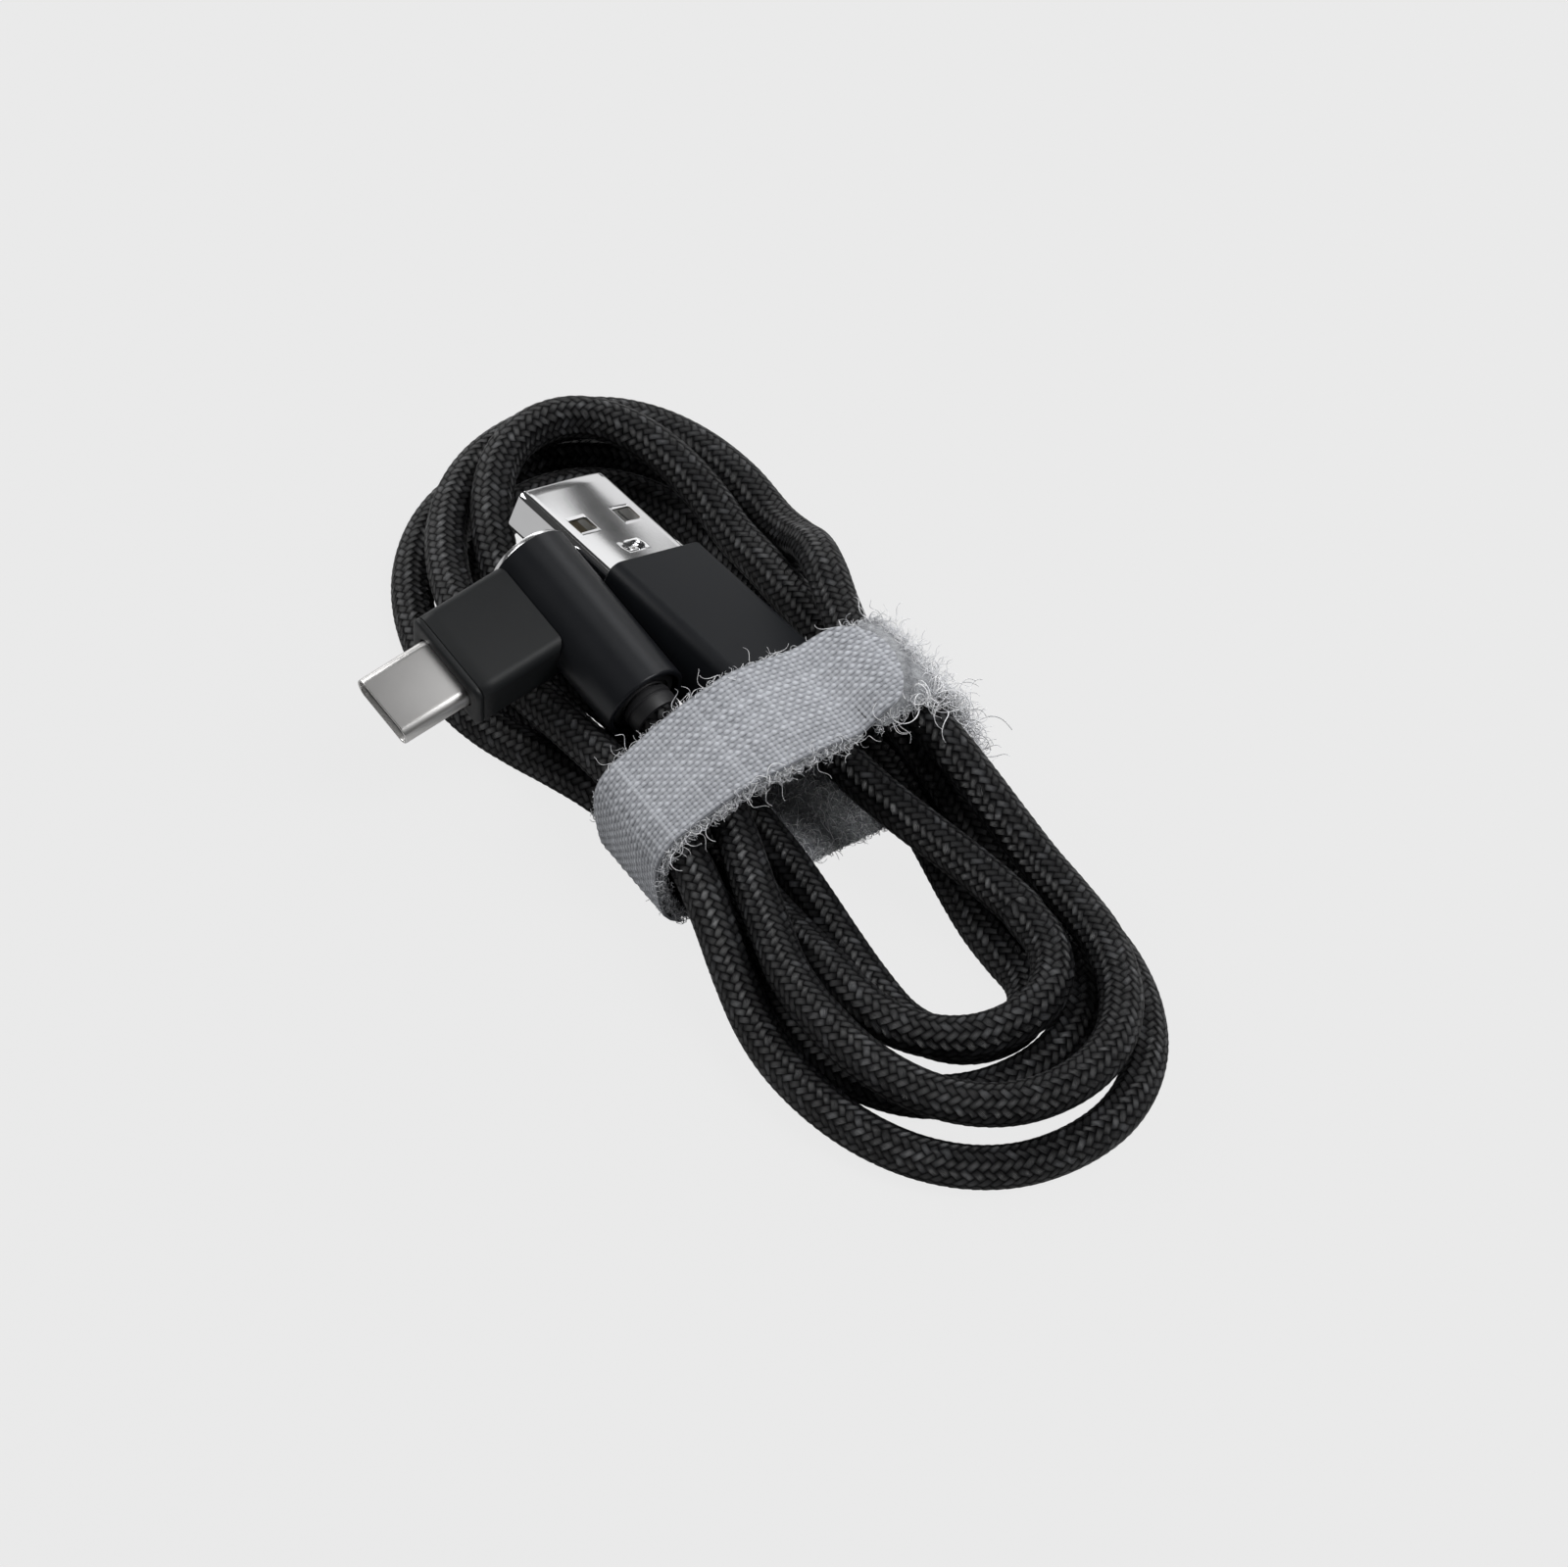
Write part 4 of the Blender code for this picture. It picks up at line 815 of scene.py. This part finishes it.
def level(x, y):
    """Height of the band's start under the free end."""
    heights = []
    for pick in (0, 2):
        heights.append(np.polyval(np.polyfit(band_line[:3, pick], band_line[:3, pick + 1], 2), x))
    share = (far_y - y) / (far_y - near_y)
    return heights[0] * (1 - share) + heights[1] * share


# outline of the free end's rounded tip
tip_y = [-7.0, -6.9, -6.2, -4.9, -3.4, -1.7, 0.4, 2.2, 3.6, 4.6, 5.1, 5.2]
tip_x = [7.6, 8.6, 9.8, 10.8, 11.5, 12.0, 12.2, 11.8, 10.9, 9.7, 8.4, 7.4]
tip_fine_y = np.linspace(near_y, far_y, 200)
tip_fine = np.interp(tip_fine_y, tip_y, tip_x)
for _ in range(6):
    tip_fine[1:-1] = (tip_fine[:-2] + 2 * tip_fine[1:-1] + tip_fine[2:]) / 4
cloth_lines = []
for j in range(cloth_stations):
    share = j / (cloth_stations - 1)
    y = far_y + (near_y - far_y) * share
    flat = band_line[11:, :2] * (1 - share) + band_line[11:, 2:] * share
    flat = flat + outward_of(flat) * over_band
    xs = np.array([7.2, 8.4, 9.8, 11.2, 12.4, 13.6])
    over = np.column_stack([xs, level(xs, y) + over_hooks])
    cloth_lines.append((rounded_line(np.vstack([flat, over]), fine_rows), y))
lengths = [travelled(line) for line, _ in cloth_lines]
half = fine_rows // 2
ends = [float(np.interp(np.interp(y, tip_fine_y, tip_fine), line[half:, 0], travel[half:]))
        for (line, y), travel in zip(cloth_lines, lengths)]
cloth_step = yarn_spacing / 4
scale = [travel[-1] / lengths[len(lengths) // 2][-1] for travel in lengths]
rows_of = [int(round(end / (cloth_step * s))) for end, s in zip(ends, scale)]
rng = np.random.default_rng(7)
warp_lift = rng.normal(0, 0.02, cloth_stations // 4 + 2)
weft_lift = rng.normal(0, 0.02, 400)


def weave_height(s, t):
    """Relief of a plain weave, where s and t count yarns along and across the strap."""
    warp, weft = np.floor(t), np.floor(s)
    swing = 0.5 * np.cos(np.pi * (s - 0.5 + warp))
    bead_warp = 0.14 * swing + 0.14 * np.sqrt(np.clip(1 - 3.6 * (t - warp - 0.5) ** 2, 0, 1))
    swing = -0.5 * np.cos(np.pi * (t - 0.5 + weft))
    bead_weft = 0.12 * swing + 0.11 * np.sqrt(np.clip(1 - 3.6 * (s - weft - 0.5) ** 2, 0, 1)) - 0.03
    return np.maximum(bead_warp + warp_lift[warp.astype(int)], bead_weft + weft_lift[weft.astype(int)])


starts, tops, unders, heights = [], [], [], []
count = 0
for (line, y), travel, end, s, rows in zip(cloth_lines, lengths, ends, scale, rows_of):
    station = len(starts)
    at = np.minimum(np.arange(rows + 1) * cloth_step * s, end)
    at[-1] = end
    spot, facing = resampled(line, travel, at), resampled(outward_of(line), travel, at)
    lift = weave_height(np.arange(rows + 1) / 4 + 0.001,
                        np.full(rows + 1, min(station / 4, warp_yarns - 0.002) + 0.001))
    edge = min(station, cloth_stations - 1 - station)
    lift = lift * min(1.0, 0.35 + edge / 4)
    for grid, offset in ((tops, 0.1 + lift), (unders, np.full(rows + 1, -0.08))):
        grid.append(np.insert(spot + facing * offset[:, None], 1, y, axis=1))
    heights.append(lift)
    starts.append(count)
    count += rows + 1
faces = []
for j in range(cloth_stations - 1):
    a, b, m, n = starts[j], starts[j + 1], rows_of[j], rows_of[j + 1]
    for i in range(max(m, n)):
        if i < min(m, n):
            top = (a + i, b + i, b + i + 1, a + i + 1)
        else:
            top = (a + i, b + n, a + i + 1) if m > n else (a + m, b + i, b + i + 1)
        faces += [top, tuple(count + corner for corner in top[::-1])]
    faces += [(a, count + a, count + b, b), (a + m, b + n, count + b + n, count + a + m)]
for j in (0, cloth_stations - 1):
    for i in range(rows_of[j]):
        a = starts[j] + i
        faces.append((a, a + 1, count + a + 1, count + a))

cloth_grey, tree, shader = blank_material("grey_woven_cloth")
relief = node(tree, "ShaderNodeAttribute", {"attribute_name": "yarn_relief"}).outputs["Fac"]
place = node(tree, "ShaderNodeTexCoord").outputs["Object"]
fibre, patch = (node(tree, "ShaderNodeTexNoise", Vector=place, Scale=size, Detail=2.0).outputs[0]
                for size in (9000.0, 700.0))
# colour: fibre and patch noise give the yarns' uneven tone; the weave's relief paints the dips darker as painted
# shade and the crowns lighter as painted highlight
tone_and_weave_shade = maths("MULTIPLY_ADD", fibre, 0.35, maths("MULTIPLY_ADD", patch, 0.25, relief))
tone_and_weave_shade = maths("MULTIPLY_ADD", tone_and_weave_shade, 1.25, -0.5)
coloured(shader, tone_and_weave_shade, (0.115, 0.121, 0.133), (0.52, 0.535, 0.575))
embossed(shader, fibre, 0.00004, 0.8)
put(shader, Roughness=0.72, Sheen_Weight=0.15, Specular_IOR_Level=0.35)
cloth = add_piece("strap_woven_cloth", np.vstack(tops + unders) * mm, faces, cloth_grey, body=None)
solid_look(cloth.data, 75.0)
# the weave's heights, kept on the points, for the cloth's painted shade and highlight
relief_values = np.concatenate(heights)
relief_values = (relief_values - relief_values.min()) / (relief_values.max() - relief_values.min())
if len(cloth.data.vertices) == 2 * count:
    held = cloth.data.attributes.new("yarn_relief", "FLOAT", "POINT")
    held.data.foreach_set("value", np.r_[relief_values, np.full(count, 0.5)].astype(np.float32))
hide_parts("strap_woven_face", "strap_free_end")
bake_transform(cloth)

# ---------------------------- strap, pile and frayed edges
# Thin nylon loops brushed out of the band on both faces, a fringe of them along its edges, hairs
# that lie on the ground, and the larger loops of the edge yarns that have sprung loose.


def curl(name, length, turns, lean, thickness, segments, seed):
    """A curled fibre rooted at the origin, a thin three-sided tube in millimetres."""
    dice = np.random.default_rng(seed)
    heading = np.array((math.sin(lean), 0.0, math.cos(lean)))
    axis = dice.normal(0, 1, 3) + np.array((0.0, 1.6, 0.0))
    axis /= np.linalg.norm(axis)
    spot, chain = np.zeros(3), [np.zeros(3)]
    for _ in range(segments):
        angle = turns * 2 * math.pi / segments
        heading = (heading * math.cos(angle) + np.cross(axis, heading) * math.sin(angle)
                   + axis * (axis @ heading) * (1 - math.cos(angle)))
        spot = spot + heading * length / segments
        chain.append(spot)
    steps = np.gradient(np.array(chain), axis=0)
    points, faces = [], ring_faces(segments + 1, 3)
    for k, (middle, step) in enumerate(zip(chain, steps)):
        side = np.cross(step, (0.31, 0.95, 0.11))
        side /= np.linalg.norm(side)
        other = np.cross(step, side) / np.linalg.norm(step)
        wide = thickness / 2 * (1 - 0.5 * k / segments)
        points += [middle + wide * (side * math.cos(a) + other * math.sin(a)) for a in (0.0, 2.094, 4.189)]
    faces += [(2, 1, 0), (3 * segments, 3 * segments + 1, 3 * segments + 2)]
    mesh = bpy.data.meshes.new(name)
    mesh.from_pydata([tuple(p * mm) for p in points], [], faces)
    for face in mesh.polygons:
        face.use_smooth = True
    return bpy.data.objects.new(name, mesh)


def growth_group():
    """Scatters fibres over a ground mesh, turned about their roots and of uneven size."""
    group = bpy.data.node_groups.new("pile_growth", "GeometryNodeTree")
    for name, kind in (("Ground", "Geometry"), ("Fibres", "Collection"), ("Density", "Float"), ("Seed", "Int"),
                       ("Least Size", "Float"), ("Most Size", "Float"), ("Tilt", "Vector"), ("Finish", "Material")):
        group.interface.new_socket(name, in_out="INPUT", socket_type="NodeSocket" + kind)
    group.interface.new_socket("Pile", in_out="OUTPUT", socket_type="NodeSocketGeometry")
    given = node(group, "NodeGroupInput").outputs
    spots = node(group, "GeometryNodeDistributePointsOnFaces", Mesh=given["Ground"], Density=given["Density"],
                 Seed=given["Seed"])
    back = node(group, "ShaderNodeVectorMath", {"operation": "SCALE"}, i0=given["Tilt"], Scale=-1.0).outputs[0]
    turn = node(group, "FunctionNodeRandomValue", {"data_type": "FLOAT_VECTOR"}, i0=back, i1=given["Tilt"],
                Seed=given["Seed"])
    turn = node(group, "FunctionNodeEulerToRotation", i0=turn.outputs[0])
    turn = node(group, "FunctionNodeRotateRotation", {"rotation_space": "LOCAL"}, i0=spots.outputs["Rotation"],
                i1=turn.outputs[0])
    size = node(group, "FunctionNodeRandomValue", {"data_type": "FLOAT"}, i2=given["Least Size"],
                i3=given["Most Size"], Seed=given["Seed"])
    kinds = node(group, "GeometryNodeCollectionInfo", Collection=given["Fibres"], Separate_Children=True)
    fibres = node(group, "GeometryNodeInstanceOnPoints", Points=spots.outputs["Points"], Instance=kinds.outputs[0],
                  Pick_Instance=True, Rotation=turn.outputs[0], Scale=size.outputs[1])
    fibres = node(group, "GeometryNodeRealizeInstances", i0=fibres.outputs[0])
    fibres = node(group, "GeometryNodeSetMaterial", Geometry=fibres.outputs[0], Material=given["Finish"])
    node(group, "NodeGroupOutput", i0=fibres.outputs[0])
    return group


pile_growth = growth_group()


def fibre_kinds(name, kinds, length, turns, more_turns, lean, thickness, segments, first_seed):
    """A few curls of one kind to scatter, each wound a little more than the last."""
    made = bpy.data.collections.new(name + "s")
    for k in range(kinds):
        made.objects.link(curl("%s_%d" % (name, k), length, turns + more_turns * k, lean, thickness, segments,
                               first_seed + k))
    return made


short_curls = fibre_kinds("short_curl", 5, 1.5, 0.5, 0.14, 0.5, 0.09, 7, 0)
long_curls = fibre_kinds("long_curl", 4, 3.8, 0.85, 0.1, 0.2, 0.11, 15, 40)
laid_hairs = fibre_kinds("laid_hair", 4, 2.2, 0.35, 0.12, 0.9, 0.13, 8, 60)


def nylon(name, dark, light):
    """Fibre of translucent-looking nylon, its tone uneven from tuft to tuft."""
    made, tree, shader = blank_material(name)
    tuft = node(tree, "ShaderNodeTexNoise", Vector=node(tree, "ShaderNodeTexCoord").outputs["Object"],
                Scale=2600.0, Detail=1.0).outputs[0]
    tuft = node(tree, "ShaderNodeMapRange", Value=tuft, From_Min=0.35, From_Max=0.65).outputs[0]
    coloured(shader, tuft, dark, light)
    put(shader, Roughness=0.45)
    return made


pale_fibre = nylon("pale_nylon_fibre", (0.42, 0.43, 0.46), (0.86, 0.87, 0.89))
# painted shade: the pile inside the hank gets darker fibres than the pile outside, for the shade it lies in
shaded_pile_fibre = nylon("nylon_fibre_painted_shade", (0.2, 0.21, 0.23), (0.92, 0.93, 0.95))
white_fibre = nylon("white_nylon_fibre", (0.72, 0.73, 0.76), (0.95, 0.95, 0.96))


def grow(name, body, points, faces, fibres, per_mm2, sizes, finish, seed, tilt=(0.7, 0.7, 3.1)):
    """Pile over a ground mesh in millimetres, as one finished piece."""
    piece = add_piece(name, np.array(points) * mm, faces, finish, body=None)
    growth = piece.modifiers.new("growth", "NODES")
    growth.node_group = pile_growth
    values = {"Fibres": fibres, "Density": per_mm2 * 1e6, "Seed": seed, "Least Size": sizes[0],
              "Most Size": sizes[1], "Tilt": tilt, "Finish": finish}
    for item in pile_growth.interface.items_tree:
        if item.in_out == "INPUT" and item.name in values:
            growth[item.identifier] = values[item.name]
    applied(piece)
    # what would reach through the ground lies down on it
    spots = np.zeros(3 * len(piece.data.vertices), np.float32)
    piece.data.vertices.foreach_get("co", spots)
    height = spots[2::3] / mm
    spots[2::3] = np.where(height < 0.1, 0.1 * np.exp(np.minimum(height - 0.1, 0.0)), height) * mm
    piece.data.vertices.foreach_set("co", spots)
    piece.data.update()
    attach(piece, body)


ground_rows, ground_columns = 96, 9


def grid_faces(wanted, inward):
    """Quads over the grid of the band's inner or outer face, where wanted says so."""
    faces = []
    for i in range(ground_rows - 1):
        for j in range(ground_columns - 1):
            if wanted[i, j]:
                a = i * ground_columns + j
                quad = (a, a + 1, a + ground_columns + 1, a + ground_columns)
                faces.append(quad[::-1] if inward else quad)
    return faces


# the inner face shows between the turns, the outer face on the right side
inner_ground, outer_ground = tape(ground_rows, ground_columns, 0.1, 0.86)
inner_points, outer_points = inner_ground.reshape(-1, 3), outer_ground.reshape(-1, 3)
below_top, along_ground = inner_ground[:, :, 2] <= 12.6, inner_ground[:, :, 2] < 2.5
right_side = (outer_ground[:, :, 0] > 13.4) & (outer_ground[:, :, 2] > 0.7)

# both edges of the band: all of them, their upper and right parts, and the near right corner
edge_points, edge_faces = [], []
for column in (0, ground_columns - 1):
    start = len(edge_points)
    for row in range(ground_rows):
        edge_points += [inner_ground[row, column], outer_ground[row, column]]
    for a in range(start, start + 2 * ground_rows - 2, 2):
        edge_faces.append((a + 2, a + 3, a + 1, a) if column else (a, a + 1, a + 3, a + 2))
top_faces = [face for face in edge_faces if edge_points[face[0]][2] > 10.5 or edge_points[face[0]][0] > 14]
corner_faces = [face for face in edge_faces
                if face[0] >= 2 * ground_rows and edge_points[face[0]][0] > 11.0 and edge_points[face[0]][2] > 4.0]

grow("strap_pile_inside", "hank", inner_points, grid_faces(below_top, True), short_curls, 4.2, (0.5, 1.1),
     shaded_pile_fibre, 3)
grow("strap_pile_outside", "hank", outer_points, grid_faces(right_side, False), short_curls, 9.0, (0.6, 1.2),
     pale_fibre, 5)
grow("strap_loose_hairs", "hank", inner_points, grid_faces(along_ground, True), laid_hairs, 3.0, (0.5, 1.0),
     white_fibre, 31, (1.1, 1.1, 3.1))
grow("strap_sprung_loops", "hank", outer_points, grid_faces(right_side, False), long_curls, 8.0, (0.45, 0.95),
     white_fibre, 21)
grow("strap_edge_fringe", "hank", edge_points, edge_faces, short_curls, 26.0, (0.5, 1.3), pale_fibre, 8)
grow("strap_edge_curls", "hank", edge_points, top_faces, long_curls, 6.0, (0.4, 1.0), white_fibre, 12,
     (0.9, 0.9, 3.1))
grow("strap_corner_loops", "hank", edge_points, corner_faces, long_curls, 16.0, (0.8, 1.8), white_fibre, 17,
     (0.9, 0.9, 3.1))
for kinds in (short_curls, long_curls, laid_hairs):
    for piece in list(kinds.objects):
        bpy.data.objects.remove(piece, do_unlink=True)
    bpy.data.collections.remove(kinds)

# ---------------------------- strap, hooks
# A black patch of moulded nylon hooks, fixed under the free end, that grips the loops of the
# band's start. It keeps the solid of the model.
hooks_black = hard_finish("hook_patch_nylon", (0.03, 0.03, 0.033), (0.07, 0.07, 0.075), 0.5, 0.2, 0.0, 3000.0, 3e-5)
dress(hooks_black, "strap_hook_patch")
